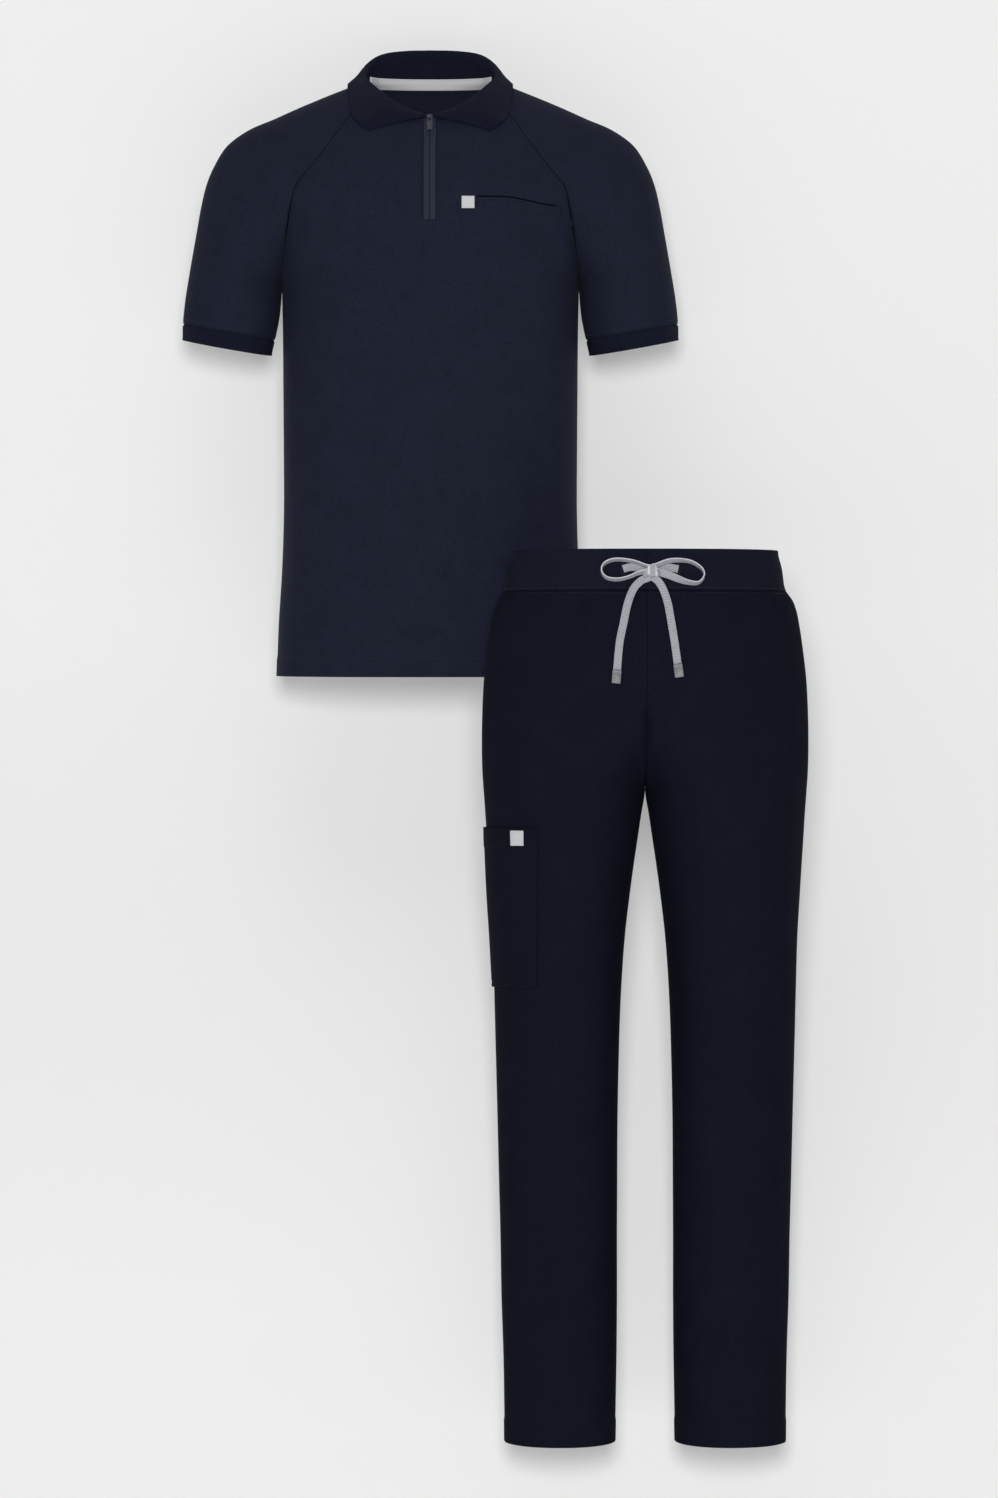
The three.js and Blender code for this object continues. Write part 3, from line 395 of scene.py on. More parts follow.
def stitchLine(bm, trees, points, size=None, lift=0.0):
    # raised stitches along a line of points, laid on the nearest cloth
    size = {**stitch, **(size or {})}
    lengths = [0.0]
    for a, b in zip(points, points[1:]):
        lengths.append(lengths[-1] + (b - a).length)
    pitch = size["length"] + size["gap"]
    count = max(1, int(lengths[-1] / pitch))
    k = 0
    for n in range(count):
        where = (n + 0.5) * lengths[-1] / count
        while k < len(lengths) - 2 and where > lengths[k + 1]:
            k += 1
        t = (where - lengths[k]) / max(lengths[k + 1] - lengths[k], 1e-6)
        spot = points[k].lerp(points[k + 1], t)
        spot, normal = onSurface(trees, spot, size["height"] / 2 - size["sunk"] + lift)
        ahead = points[k + 1] - points[k]
        ahead = (ahead - normal * ahead.dot(normal)).normalized()
        side = normal.cross(ahead)
        turn = Matrix((ahead * size["length"] * mm, side * size["width"] * mm, normal * size["height"] * mm))
        matrix = Matrix.Translation(spot * mm) @ turn.transposed().to_4x4()
        bmesh.ops.create_uvsphere(bm, u_segments=5, v_segments=4, radius=0.5, matrix=matrix)


# The camera, at the photograph's viewing angle: level, 8 m in front of the zip's line

view = {"x": 0.0822, "y": -8.0, "z": -0.7848, "height": 1.7976, "longSide": 36}
cameraData = bpy.data.cameras.new("camera")
cameraData.sensor_width = view["longSide"]
cameraData.lens = view["longSide"] * abs(view["y"]) / view["height"]
camera = bpy.data.objects.new("camera", cameraData)
camera.location = (view["x"], view["y"], view["z"])
camera.rotation_euler = (math.pi / 2, 0, 0)
scene.collection.objects.link(camera)
scene.camera = camera

# The drawstring: a flat woven cord, out of a buttonhole on each side, through the knot, round a
# loop and down to its tip. lean is 0 where it lies flat to the front and 1 where it stands on edge.

drawstring = {
    "width": 8.9, "thick": 2.3, "edge": (0, 0.92, -0.4), "steps": 6, "sides": 16, "waist": 0.25,
    "tip": {"width": 10.2, "height": 15.2, "thick": 4.4, "gap": 0.3},
    "knot": {"x": 257.3, "y": -318.0, "z": -579.6, "rim": 254.8},
}
cordRoutes = {
    "right": table("x y z lean", [
        (225.2, -312, -577.3, 0.1), (233, -312.5, -575.2, 0), (242.3, -312.9, -575.6, 0),
        (250.4, -313.2, -577, 0), (256.2, -313.8, -578, 0.4), (258.6, -316, -576.8, 0.8),
        (256.4, -318, -574.8, 1), (250.4, -318.4, -573.4, 1), (236, -317.4, -568.4, 1),
        (217, -314.4, -566.4, 1), (204.6, -311.6, -570.6, 1), (200.4, -310.8, -579, 1),
        (206, -312, -587.2, 1), (219, -314.6, -589.4, 1), (232, -317, -586.6, 1),
        (242, -318.4, -582.4, 0.9), (250.4, -318.6, -580.8, 0.8), (256.5, -318, -582.4, 0.3),
        (257.2, -315.6, -585.2, 0), (253.2, -315.2, -587.6, 0), (246, -314.8, -590.8, 0),
        (237.4, -314.6, -600, 0), (230.6, -317, -617, 0), (225.4, -320.4, -641, 0),
        (221, -322.6, -663, 0), (218.2, -323.8, -693.8, 0),
    ]),
    "left": table("x y z lean", [
        (289, -311.6, -577.3, 0.1), (280, -312.3, -575.8, 0), (271, -312.9, -576, 0),
        (264.2, -313.2, -577, 0), (258.4, -313.8, -578, 0.4), (256, -316, -576.8, 0.8),
        (258.2, -318, -574.8, 0.8), (264.2, -318.4, -573.4, 0.7), (277, -317.6, -568.4, 0.8),
        (291, -315.5, -567.2, 0.9), (305, -312.6, -569.6, 1), (316, -309.6, -577, 1),
        (318.8, -309, -585.5, 1), (312, -311.4, -593.2, 1), (299, -313.8, -592.2, 0.75),
        (287, -316.4, -588, 0.4), (275, -318.4, -583.2, 0.1), (264.2, -318.6, -580.8, 0),
        (258, -318, -582.4, 0), (257.2, -315.6, -585.2, 0), (261.2, -315.2, -587.6, 0),
        (266.6, -314.8, -592.4, 0), (272, -315, -602, 0), (276.8, -317.8, -617, 0),
        (280.4, -321, -637, 0), (284.2, -323.2, -660, 0), (287.9, -324.6, -686.8, 0),
    ]),
}


def alongRoute(route, steps):
    # points of a smooth line through the route, each with its lean
    made = []
    for k in range(len(route) - 1):
        four = [route[clamp(k + d, 0, len(route) - 1)] for d in (-1, 0, 1, 2)]
        for n in range(steps + (k == len(route) - 2)):
            t = n / steps
            weights = (
                -0.5 * t + t * t - 0.5 * t ** 3, 1 - 2.5 * t * t + 1.5 * t ** 3,
                0.5 * t + 2 * t * t - 1.5 * t ** 3, -0.5 * t * t + 0.5 * t ** 3,
            )
            spot = Vector([sum(w * p[c] for w, p in zip(weights, four)) for c in "xyz"])
            made.append((spot, mix(route[k]["lean"], route[k + 1]["lean"], t)))
    return made


def makeCord(side):
    line = alongRoute(cordRoutes[side], drawstring["steps"])
    count, sides = len(line), drawstring["sides"]
    frames, before = [], None
    for n, (spot, lean) in enumerate(line):
        ahead = (line[min(n + 1, count - 1)][0] - line[max(n - 1, 0)][0]).normalized()
        flat = ahead.cross(Vector((0, 1, 0)))
        flat = flat.normalized() if flat.length > 0.05 else Vector((0, 0, 1))
        edge = Vector(drawstring["edge"])
        edge = (edge - ahead * edge.dot(ahead)).normalized()
        if flat.dot(edge) < 0:
            flat = -flat
        wide = flat.lerp(edge, lean)
        wide = (wide - ahead * wide.dot(ahead)).normalized()
        if before is not None and wide.dot(before) < 0:
            wide = -wide
        frames.append((spot, wide, ahead.cross(wide)))
        before = wide
    bm = bmesh.new()
    bmesh.ops.create_grid(bm, x_segments=sides, y_segments=count - 1, size=0.5)
    weave = bm.loops.layers.uv.new("weave")
    number = {v: (round((v.co.x + 0.5) * sides), round((v.co.y + 0.5) * (count - 1))) for v in bm.verts}
    lengths = [0.0]
    for (a, _, _), (b, _, _) in zip(frames, frames[1:]):
        lengths.append(lengths[-1] + (b - a).length * mm)
    for face in bm.faces:
        for loop in face.loops:
            i, n = number[loop.vert]
            loop[weave].uv = (i / sides * 2 * drawstring["width"] * mm, lengths[n])
    for v, (i, n) in number.items():
        spot, wide, thin = frames[n]
        angle = 2 * math.pi * i / sides
        c, s = math.cos(angle), math.sin(angle)
        across = math.copysign(abs(c) ** 0.55, c) * drawstring["width"] / 2
        thinner = 1 - drawstring["waist"] * (1 - (2 * across / drawstring["width"]) ** 2)
        through = math.copysign(abs(s) ** 0.75, s) * drawstring["thick"] / 2 * thinner
        v.co = (spot + wide * across + thin * through) * mm
    bmesh.ops.remove_doubles(bm, verts=bm.verts, dist=1e-7)
    bmesh.ops.holes_fill(bm, edges=[e for e in bm.edges if e.is_boundary], sides=0)
    bmesh.ops.recalc_face_normals(bm, faces=bm.faces)
    nodes = [f"cord_{side}_{part}" for part in ("stub", "loop", "end")]
    cord = finishPiece(f"drawstring_{side}", bm, cordWeave, "cord", nodes=nodes)
    tip = makeTip(side, frames[-1], lengths[-1])
    print(f"drawstring_{side}: {lengths[-1]:.4f} m")


def makeTip(side, end, length):
    # a flat tip with a folded top, pressed round the cord's end
    spot, wide, thin = end
    size = drawstring["tip"]
    down = wide.cross(thin)
    if down.z > 0:
        down = -down
    centre = spot + down * (size["gap"] + size["height"] / 2)
    turn = Matrix((wide * size["width"] * mm, down * size["height"] * mm, thin * size["thick"] * mm))
    bm = bmesh.new()
    bmesh.ops.create_cube(bm, size=1, matrix=Matrix.Translation(centre * mm) @ turn.transposed().to_4x4())
    bmesh.ops.recalc_face_normals(bm, faces=bm.faces)
    cutAt = (spot + down * (size["gap"] + size["height"] * 0.3)) * mm
    cut = bmesh.ops.bisect_plane(bm, geom=bm.verts[:] + bm.edges[:] + bm.faces[:], plane_co=cutAt,
                                 plane_no=down)
    groove = [e for e in cut["geom_cut"] if isinstance(e, bmesh.types.BMEdge)]
    bmesh.ops.bevel(bm, geom=groove, offset=0.9 * mm, affect="EDGES", segments=2, profile=0.5, material=-1)
    middle = [v for v in bm.verts if abs((v.co - cutAt).dot(down)) < 0.2 * mm]
    for v in middle:
        v.co = v.co + (centre * mm - v.co).dot(thin) * thin * 0.22
    sharp = [e for e in bm.edges if e.calc_face_angle(0) > 0.9]
    bmesh.ops.bevel(bm, geom=sharp, offset=0.5 * mm, affect="EDGES", segments=2, profile=0.5, material=-1)
    return finishPiece(f"drawstring_tip_{side}", bm, greyTip, "cord_tip", nodes=[f"cord_tip_{side}"])


def makeKnot():
    # the cord wound once round itself: a wide flat wrap over the ends that come out on each side
    bm = bmesh.new()
    weave = bm.loops.layers.uv.new("weave")
    place = drawstring["knot"]
    wraps = table("x z width depth height turn", [
        (2, 0.2, 10.4, 9.8, 15, -0.15), (-5, -1.6, 6, 8.2, 12.5, 0.42), (8, -1, 5, 8, 10.5, -0.5),
    ])
    for wrap in wraps:
        centre = Vector((place["x"] + wrap["x"], place["y"], place["z"] + wrap["z"])) * mm
        size = Matrix.Diagonal((wrap["width"] * mm, wrap["depth"] * mm, wrap["height"] * mm, 1))
        turn = Matrix.Rotation(wrap["turn"], 4, "Y")
        made = bmesh.ops.create_cube(bm, size=1, matrix=Matrix.Translation(centre) @ turn @ size)
        edges = list({e for v in made["verts"] for e in v.link_edges})
        bmesh.ops.bevel(bm, geom=edges, offset=2.6 * mm, affect="EDGES", segments=4, profile=0.5, material=-1)
    for face in bm.faces:
        for loop in face.loops:
            loop[weave].uv = (loop.vert.co.x - place["rim"] * mm, loop.vert.co.z)
    finishPiece("drawstring_knot", bm, cordWeave, "cord", nodes=["cord_knot"])


for side in ("right", "left"):
    makeCord(side)
makeKnot()
print("camera and drawstring made")


# The cloth's form: the same sizes as the part's solids

cloth = {
    "seamGap": 0.4, "seamShift": -0.1, "seamLap": 0.15, "thickness": 1.4, "rib": 1.8, "tab": 0.9, "band": 2.4,
    "torsoRound": 2.5, "neckDip": 1.6, "sleeveTilt": 0.08, "hemTilt": 0.025, "stillEdge": 0.86,
    "zipWidth": 15.6, "zipBottom": -159.5, "diamondRows": 5, "lay": 0.8,
}
topRows = {"hem": -697, "hemTiltStart": -560, "underarm": 3, "neck": 14}
torsoSide = table("z width", [
    (-697, 184.2), (-632, 181.8), (-575, 178.2), (-503, 175.8), (-430, 175.9), (-359, 176.4),
    (-272, 177.2), (-234, 178),
])
torsoDepth = table("z front back", [
    (-697, 115, 112), (-632, 117, 110), (-560, 118, 104), (-480, 117, 98), (-400, 116, 97),
    (-310, 118, 103), (-234, 122, 110), (-170, 122, 114), (-118, 115, 110), (-80, 102.5, 103),
    (-36, 80, 88), (17, 56, 63),
])
sleeveTop = table("x z", [
    (297.4, -294), (297.2, -275), (294.2, -246), (289.2, -214.8), (284.6, -188), (280, -162),
    (275.4, -136), (269, -109), (259.3, -85.5), (243.5, -61), (217.5, -42.2), (187.5, -29.3),
    (157, -15.6), (121, -0.6), (84, 14),
])
sleeveFront = table("x z depth middle", [
    (190.8, -312.8, 0, 53), (186.6, -294.5, 0, 55.5), (180.9, -266, 0, 59), (178.1, -234, 0, 62),
    (176.5, -215, 28, 62.5), (174.5, -190, 48, 63), (171, -165, 62, 63.5), (167, -140, 73, 63),
    (161.5, -117, 79, 62), (150, -101, 81, 60.5), (134, -81, 80, 57.5), (118, -59.5, 74, 52.5),
    (103, -38, 64, 45.5), (88, -20, 50, 35.5), (72, -4, 32, 23),
])
sleeveBack = table("x z depth middle", [
    (190.8, -312.8, 0, 52), (186.6, -294.5, 0, 54), (180.9, -266, 0, 57), (178.1, -234, 0, 60),
    (176.5, -213, 27, 60), (175, -187, 46, 61), (172, -161, 60, 62), (168, -134, 71, 62),
    (160, -108, 79, 62), (146, -84, 83, 61), (129, -60, 84, 59), (112, -37, 80, 55),
    (96, -15, 72, 49), (81, 4, 60, 40), (66, 19, 45, 30),
])

# Soft folds, from one point to another: a ridge, or a trough where the height is below zero.
folds = table("face x1 z1 x2 z2 spread height", [
    ("front", -104, -250, -132, -430, 16, 3.2), ("front", -132, -430, -150, -520, 15, 2.4),
    ("front", -158, -250, -152, -470, 13, -3), ("front", 132, -245, 140, -380, 15, 2.2),
    ("front", 146, -380, 172, -545, 12, 2.6), ("front", 118, -400, 150, -600, 20, -3),
    ("front", -150, -205, -120, -150, 12, -2.4), ("front", 150, -200, 118, -152, 12, -2.2),
    ("front", -163, -232, -118, -262, 7, -1.6), ("front", 164, -236, 122, -276, 7, -1.5),
    ("front", -168, -262, -136, -300, 8, 1.1), ("front", 166, -258, 140, -330, 8, 1.2),
    ("front", -60, -560, -96, -690, 22, 1.2), ("front", 52, -520, 74, -694, 26, 1.3),
    ("front", -8, -430, 6, -690, 30, -0.9), ("front", -40, -190, -18, -300, 24, -0.8),
    ("front", 66, -215, 30, -330, 26, 0.8),
    ("back", -140, -220, -110, -420, 20, -3.4), ("back", 140, -230, 104, -440, 22, -3.2),
    ("back", -60, -500, 70, -530, 26, -2.6), ("back", -84, -470, 40, -452, 15, 1.6),
    ("back", -30, -560, 96, -584, 17, 1.5), ("back", -148, -330, -128, -600, 14, 1.7),
    ("back", 150, -300, 132, -560, 15, 1.5), ("back", -96, -60, -20, -120, 18, -1.3),
    ("back", 90, -64, 24, -118, 18, -1.2), ("back", -164, -236, -120, -280, 8, -1.6),
    ("back", 162, -232, 124, -284, 8, -1.5), ("back", -50, -600, -78, -694, 22, 1.2),
    ("back", 60, -610, 80, -694, 24, 1.1),
    ("leg front", -42, -705, -6, -800, 11, -4.4), ("leg front", 40, -700, 8, -800, 11, -4.2),
    ("leg front", 0, -776, 0, -838, 11, -8), ("leg front", 10, -600, 6, -690, 16, 3.4),
    ("leg front", 118, -960, 160, -1160, 16, -2.8),
    ("leg front", -70, -1180, -130, -1230, 16, -2.4), ("leg front", 60, -1190, 116, -1250, 18, -2.4),
    ("leg front", -88, -640, -60, -760, 16, -1.4), ("leg front", 92, -640, 60, -770, 16, -1.4),
    ("leg front", -20, -812, -70, -856, 9, -1.6), ("leg front", 20, -812, 74, -862, 9, -1.5),
    ("leg front", -96, -1130, -150, -1150, 11, 1.3), ("leg front", 50, -1150, 120, -1190, 12, 1.3),
    ("leg front", -60, -1246, -110, -1300, 14, 1.2), ("leg front", -108, -1400, -92, -1590, 20, 1.2),
    ("leg front", 104, -1380, 92, -1590, 20, 1.3), ("leg front", 130, -1180, 150, -1330, 14, 1.4),
    ("leg back", -60, -850, -150, -890, 16, -4), ("leg back", 60, -850, 150, -895, 16, -4),
    ("leg back", -60, -1150, -140, -1190, 18, -3.6), ("leg back", 60, -1150, 140, -1195, 18, -3.6),
    ("leg back", -40, -800, -120, -838, 12, 1.8), ("leg back", 44, -806, 118, -836, 12, 1.7),
    ("leg back", -70, -1108, -140, -1130, 13, 1.8), ("leg back", 62, -1100, 136, -1136, 13, 1.6),
    ("leg back", -66, -1210, -130, -1250, 14, 1.5), ("leg back", 70, -1216, 128, -1244, 14, 1.4),
    ("leg back", -96, -1400, -104, -1590, 20, 1.3), ("leg back", 98, -1410, 106, -1590, 20, 1.2),
])
foldsOf = {face: [f for f in folds if f["face"] == face] for face in {f["face"] for f in folds}}
ripple = {"wave": 72, "height": 0.9, "fineWave": 26, "fineHeight": 0.22}


def foldLift(face, x, z):
    lift = 0
    for fold in foldsOf[face]:
        dx, dz = fold["x2"] - fold["x1"], fold["z2"] - fold["z1"]
        t = clamp(((x - fold["x1"]) * dx + (z - fold["z1"]) * dz) / (dx * dx + dz * dz), 0, 1)
        away = math.hypot(x - fold["x1"] - t * dx, z - fold["z1"] - t * dz) / fold["spread"]
        if away < 3:
            lift += fold["height"] * math.sin(math.pi * mix(0.16, 0.84, t)) * math.exp(-away * away)
    side = 40 if "front" in face else 140
    slow = noise.noise(Vector((x / ripple["wave"], side, z / ripple["wave"] * 0.6)))
    fast = noise.noise(Vector((x / ripple["fineWave"], side, z / ripple["fineWave"] * 0.7)))
    return lift + ripple["height"] * slow + ripple["fineHeight"] * fast


torsoWidth = curve(torsoSide, "width", "z")
faces = {
    "front": {"sign": -1, "depth": curve(torsoDepth, "front", "z"), "seam": curves(sleeveFront),
              "neckline": -36},
    "back": {"sign": 1, "depth": curve(torsoDepth, "back", "z"), "seam": curves(sleeveBack),
             "neckline": 17},
}
outerLine = curves(sleeveTop)
underarmZ = sleeveFront[topRows["underarm"]]["z"]


def panelRow(face, level):
    # levels below zero are heights below the underarm, and from zero up they are the sleeve's rows
    seam, depth = faces[face]["seam"], faces[face]["depth"]
    if level < 0:
        z = underarmZ + level
        return torsoWidth(z), -cloth["seamLap"], z, z, depth(z), cloth["torsoRound"]
    row = topRows["underarm"] + level
    rise = (seam["z"](row) - underarmZ) / (seam["z"](topRows["neck"]) - underarmZ)
    z = mix(underarmZ, faces[face]["neckline"], rise)
    shape = mix(cloth["torsoRound"], 1, smoothstep(level, 0, cloth["diamondRows"]))
    edge = max(seam["depth"](row), -cloth["seamLap"])
    return seam["x"](row) - cloth["seamShift"], edge, seam["z"](row), z, depth(z), shape


def panelPoint(face, level, x, row=None):
    width, edge, edgeZ, middleZ, middleDepth, shape = row or panelRow(face, level)
    share = min(abs(x) / width, 1)
    z = mix(middleZ, edgeZ, share ** cloth["neckDip"])
    bulge = (1 - share ** cloth["torsoRound"]) ** (1 / shape)
    still = 1 - smoothstep(share, cloth["stillEdge"], 1)
    y = faces[face]["sign"] * (mix(edge, middleDepth, bulge) + foldLift(face, x, z) * still)
    lower = smoothstep(-z, -topRows["hemTiltStart"], -topRows["hem"])
    return Vector((x, y, z + cloth["hemTilt"] * y * lower))


def levelAt(face, z):
    if z <= underarmZ:
        return z - underarmZ
    low, high = 0, topRows["neck"] - topRows["underarm"]
    for _ in range(40):
        middle = (low + high) / 2
        if panelRow(face, middle)[3] < z:
            low = middle
        else:
            high = middle
    return low


def sleevePoint(face, row, share):
    seam, sign = faces[face]["seam"], faces[face]["sign"]
    shift = cloth["seamShift"] if row > topRows["underarm"] - 0.5 else 0
    start = max(seam["depth"](row), 0)
    full = 2 * (2 * seam["middle"](row) ** 2 - seam["depth"](row) ** 2)
    depth = math.sqrt((1 - share) * (start ** 2 + full * share))
    x = mix(seam["x"](row) + shift, outerLine["x"](row), share)
    z = mix(seam["z"](row), outerLine["z"](row), share)
    calm = math.sin(math.pi * share) * smoothstep(row, 0, 1.6)
    depth += armLift(face, row, share) * calm
    y = sign * (depth - cloth["seamLap"])
    tilt = cloth["sleeveTilt"] * (1 - smoothstep(row, 0, topRows["underarm"]))
    return Vector((x, y, z + y * tilt))


# The sleeves' folds, in rows up from the hem and shares out from the seam.
armFolds = table("face row1 share1 row2 share2 rowSpread shareSpread height", [
    ("front", 3.2, 0.10, 5.6, 0.44, 0.9, 0.14, -2.8), ("front", 2.0, 0.18, 4.0, 0.66, 0.7, 0.12, 1.7),
    ("front", 1.4, 0.36, 2.6, 0.92, 0.6, 0.12, -1.5), ("front", 6.2, 0.30, 8.4, 0.66, 0.9, 0.12, 1.1),
    ("front", 4.6, 0.62, 7.6, 0.80, 1.0, 0.10, -1.1),
    ("back", 3.2, 0.12, 5.4, 0.50, 0.9, 0.14, -2.6), ("back", 1.8, 0.22, 3.8, 0.70, 0.7, 0.12, 1.6),
    ("back", 1.2, 0.40, 2.4, 0.90, 0.6, 0.12, -1.4), ("back", 6.6, 0.30, 9.0, 0.60, 0.9, 0.12, 1.2),
])


def armLift(face, row, share):
    lift = 0.7 * noise.noise(Vector((row * 0.8, 7 if face == "front" else 19, share * 3.2)))
    for fold in armFolds:
        if fold["face"] != face:
            continue
        down = (row - fold["row1"]) / fold["rowSpread"], (share - fold["share1"]) / fold["shareSpread"]
        way = ((fold["row2"] - fold["row1"]) / fold["rowSpread"],
               (fold["share2"] - fold["share1"]) / fold["shareSpread"])
        t = clamp((down[0] * way[0] + down[1] * way[1]) / (way[0] ** 2 + way[1] ** 2), 0, 1)
        away = math.hypot(down[0] - t * way[0], down[1] - t * way[1])
        lift += fold["height"] * math.sin(math.pi * mix(0.16, 0.84, t)) * math.exp(-away * away)
    return lift


# The top

top = {
    "halfColumns": 34, "rowStep": 5.2, "levelStep": 0.17, "hemStitch": 22, "hemThick": 0.7,
    "cut": {"front": {"flat": (0.46, 0.71), "area": 0.30}, "back": {"flat": (0.47, 0.75), "area": 0.30},
            "sleeve": {"flat": (0.42, 0.36), "area": 0.100}, "band": {"flat": (0.36, 0.021)}},
}
hemRows = [topRows["hem"] + rise for rise in (0, 2, 6, 11, 16, 19.5, 21, 22, 23, 24.5, 28)]
zipLevel = levelAt("front", cloth["zipBottom"])


def panelLevels(stops):
    levels = [z - underarmZ for z in hemRows]
    below = round((-levels[-1]) / top["rowStep"])
    levels += spaced(levels[-1], 0, below)[1:]
    for start, end in zip(stops, stops[1:]):
        levels += spaced(start, end, max(2, round((end - start) / top["levelStep"])))[1:]
    return levels


def makePanel(face, stops, options):
    half = top["halfColumns"]
    columns = 2 * half + 1
    levels = panelLevels(stops)
    rows = [panelRow(face, level) for level in levels]

    def xAt(i, j):
        n = i - half - 1 if i > half else half - i
        x = mix(cloth["zipWidth"] / 2, rows[j][0], math.sin(math.pi / 2 * n / half))
        return x if i > half else -x

    def place(i, j):
        return panelPoint(face, levels[j], xAt(i, j), rows[j])

    def relief(i, j):
        # a folded hem, stitched down, and a low ridge of seam allowance beside the raglan seam
        rise = underarmZ + levels[j] - topRows["hem"]
        hem = top["hemThick"] * (1 - smoothstep(rise, top["hemStitch"], top["hemStitch"] + 2.5))
        dent = -0.35 * math.exp(-((rise - top["hemStitch"]) / 1.3) ** 2)
        inward = rows[j][0] - abs(xAt(i, j))
        ridge = 0.5 * math.exp(-((inward - 4.5) / 3) ** 2) - 1.3 * math.exp(-(inward / 1.8) ** 2)
        return hem + dent + ridge * smoothstep(levels[j], 1.6, 3.6)

    zipRow = levels.index(zipLevel) if zipLevel in levels else None
    skip = None
    if face == "front":
        skip = lambda i, j: i == half and j >= zipRow
    return clothPiece(f"top_{face}_cloth", columns, len(levels) - 1, place, {
        "facing": -faces[face]["sign"], "relief": relief, "skip": skip, "material": navyTop,
        "slot": "top_cloth", "nodes": [f"top_{face}"], "thickness": cloth["thickness"],
        "cut": top["cut"][face], **options,
    })


neckLevel = topRows["neck"] - topRows["underarm"]
frontTree = makePanel("front", [0, zipLevel, neckLevel], {})[1]
backTree = makePanel("back", [0, neckLevel], {})[1]

sleeve = {"columns": 76, "step": 0.15, "bandTop": 1, "bandGap": 0.02, "bandStep": 0.098}


def sleeveSpot(side, i, columns, row):
    angle = 2 * math.pi * i / columns
    share = (1 - math.cos(angle)) / 2
    face = "front" if i <= columns // 2 else "back"
    spot = sleevePoint(face, row, share)
    if i == columns // 2:
        spot.y = 0
    spot.x *= side
    return spot


def makeSleeve(name, side):
    columns = sleeve["columns"]
    rows = spaced(sleeve["bandTop"] + sleeve["bandGap"], topRows["underarm"], 13)
    rows += spaced(topRows["underarm"], topRows["neck"], round(neckLevel / sleeve["step"]))[1:]

    def relief(i, j):
        share = (1 - math.cos(2 * math.pi * i / columns)) / 2
        seam = share * (outerLine["x"](rows[j]) - faces["front"]["seam"]["x"](rows[j]))
        ridge = 0.35 * math.exp(-((seam - 3.5) / 2.5) ** 2) - 1.3 * math.exp(-(seam / 1.8) ** 2)
        band = -0.5 * math.exp(-((rows[j] - rows[0]) / 0.05) ** 2)
        return ridge * smoothstep(rows[j], 4.6, 6.6) + band

    return clothPiece(f"sleeve_{name}_cloth", columns, len(rows) - 1,
                      lambda i, j: sleeveSpot(side, i, columns, rows[j]), {
        "facing": side, "relief": relief, "material": navyTop, "slot": "top_cloth",
        "nodes": [f"sleeve_{name}"], "thickness": cloth["thickness"], "cut": top["cut"]["sleeve"],
    })


def makeSleeveBand(name, side):
    columns = sleeve["columns"] * 2
    rows = spaced(0, sleeve["bandTop"] - sleeve["bandGap"], 10)
    rows += [sleeve["bandTop"] + 0.03, sleeve["bandTop"] + 0.1]

    def relief(i, j):
        # the knit rolls a little at the hem and dips at the seam
        roll = 0.5 * math.exp(-(rows[j] / 0.1) ** 2)
        return roll - 1.7 * smoothstep(rows[j], sleeve["bandTop"] - 0.12, sleeve["bandTop"] + 0.03)

    return clothPiece(f"sleeve_band_{name}_rib", columns, len(rows) - 1,
                      lambda i, j: sleeveSpot(side, i % columns, columns, rows[j]), {
        "facing": side, "ring": True, "relief": relief, "material": ribKnit, "slot": "rib_knit",
        "nodes": [f"sleeve_band_{name}"], "thickness": cloth["rib"], "cut": top["cut"]["band"],
    })


sleeveTrees = []
for name, side in (("left", 1), ("right", -1)):
    sleeveTrees.append(makeSleeve(name, side)[1])
    makeSleeveBand(name, side)
topTrees = [frontTree, backTree, *sleeveTrees]
print("panels and sleeves made")


# The collar: one section goes from the neckline up to the fold and down to the outer edge

collarHalf = table("foldX foldY foldZ edgeX edgeY edgeZ", [
    (6, -82, -30.5, 73.5, -83, -50), (32, -73, -20, 84.5, -78, -40.5), (57, -52, -1.5, 93.5, -62, -28.5),
    (75, -22, 16, 97.5, -38, -7), (78.6, -6, 21.5, 99, -16, 9), (79, 9, 28.5, 97, 8, 15.5),
    (74.5, 35, 43, 90, 40, 15), (58, 51, 54.5, 72, 64, 13), (30, 59, 59.5, 40, 76, 9),
    (0, 61, 60.3, 0, 79, 7),
])
collar = {
    "columns": 60, "rows": 40, "axisY": -9, "foldHalf": 3.1, "standBelow": 2.2, "standLeast": 1.2,
    "leafBelow": 1.6, "bend": {"share": 0.42, "out": 2.2}, "low": {"share": 0.75, "out": 1.6},
    "cut": {"flat": (0.44, 0.085)},
}
collarCurves = curves(collarHalf)


def neckAngle(spot):
    return math.atan2(spot.x, -(spot.y - collar["axisY"]))


def necklineRing():
    ring = []
    for face, order in (("front", 1), ("back", -1)):
        row = panelRow(face, neckLevel)
        start = cloth["zipWidth"] / 2 if face == "front" else 0
        xs = [mix(start, row[0], math.sin(math.pi / 2 * n / 16)) for n in range(17)]
        ring.append([panelPoint(face, neckLevel, x, row) for x in xs][::order])
    arm = [sleeveSpot(1, i, 32, topRows["neck"]) for i in range(33)]
    return ring[0] + arm + ring[1]


neckRing = necklineRing()


def necklineAt(angle):
    after = next((k for k, p in enumerate(neckRing) if neckAngle(p) > angle), None)
    if after is None or after == 0:
        return neckRing[0 if after == 0 else -1].copy()
    a, b = neckRing[after - 1], neckRing[after]
    return a.lerp(b, (angle - neckAngle(a)) / (neckAngle(b) - neckAngle(a)))


def clearOfBody(spot):
    sign = -1 if spot.y < 0 else 1
    depth = rayDepth(topTrees, spot.x, spot.z, sign)
    if depth is None:
        return spot
    return Vector((spot.x, sign * max(spot.y * sign, depth + cloth["lay"] + cloth["rib"]), spot.z))


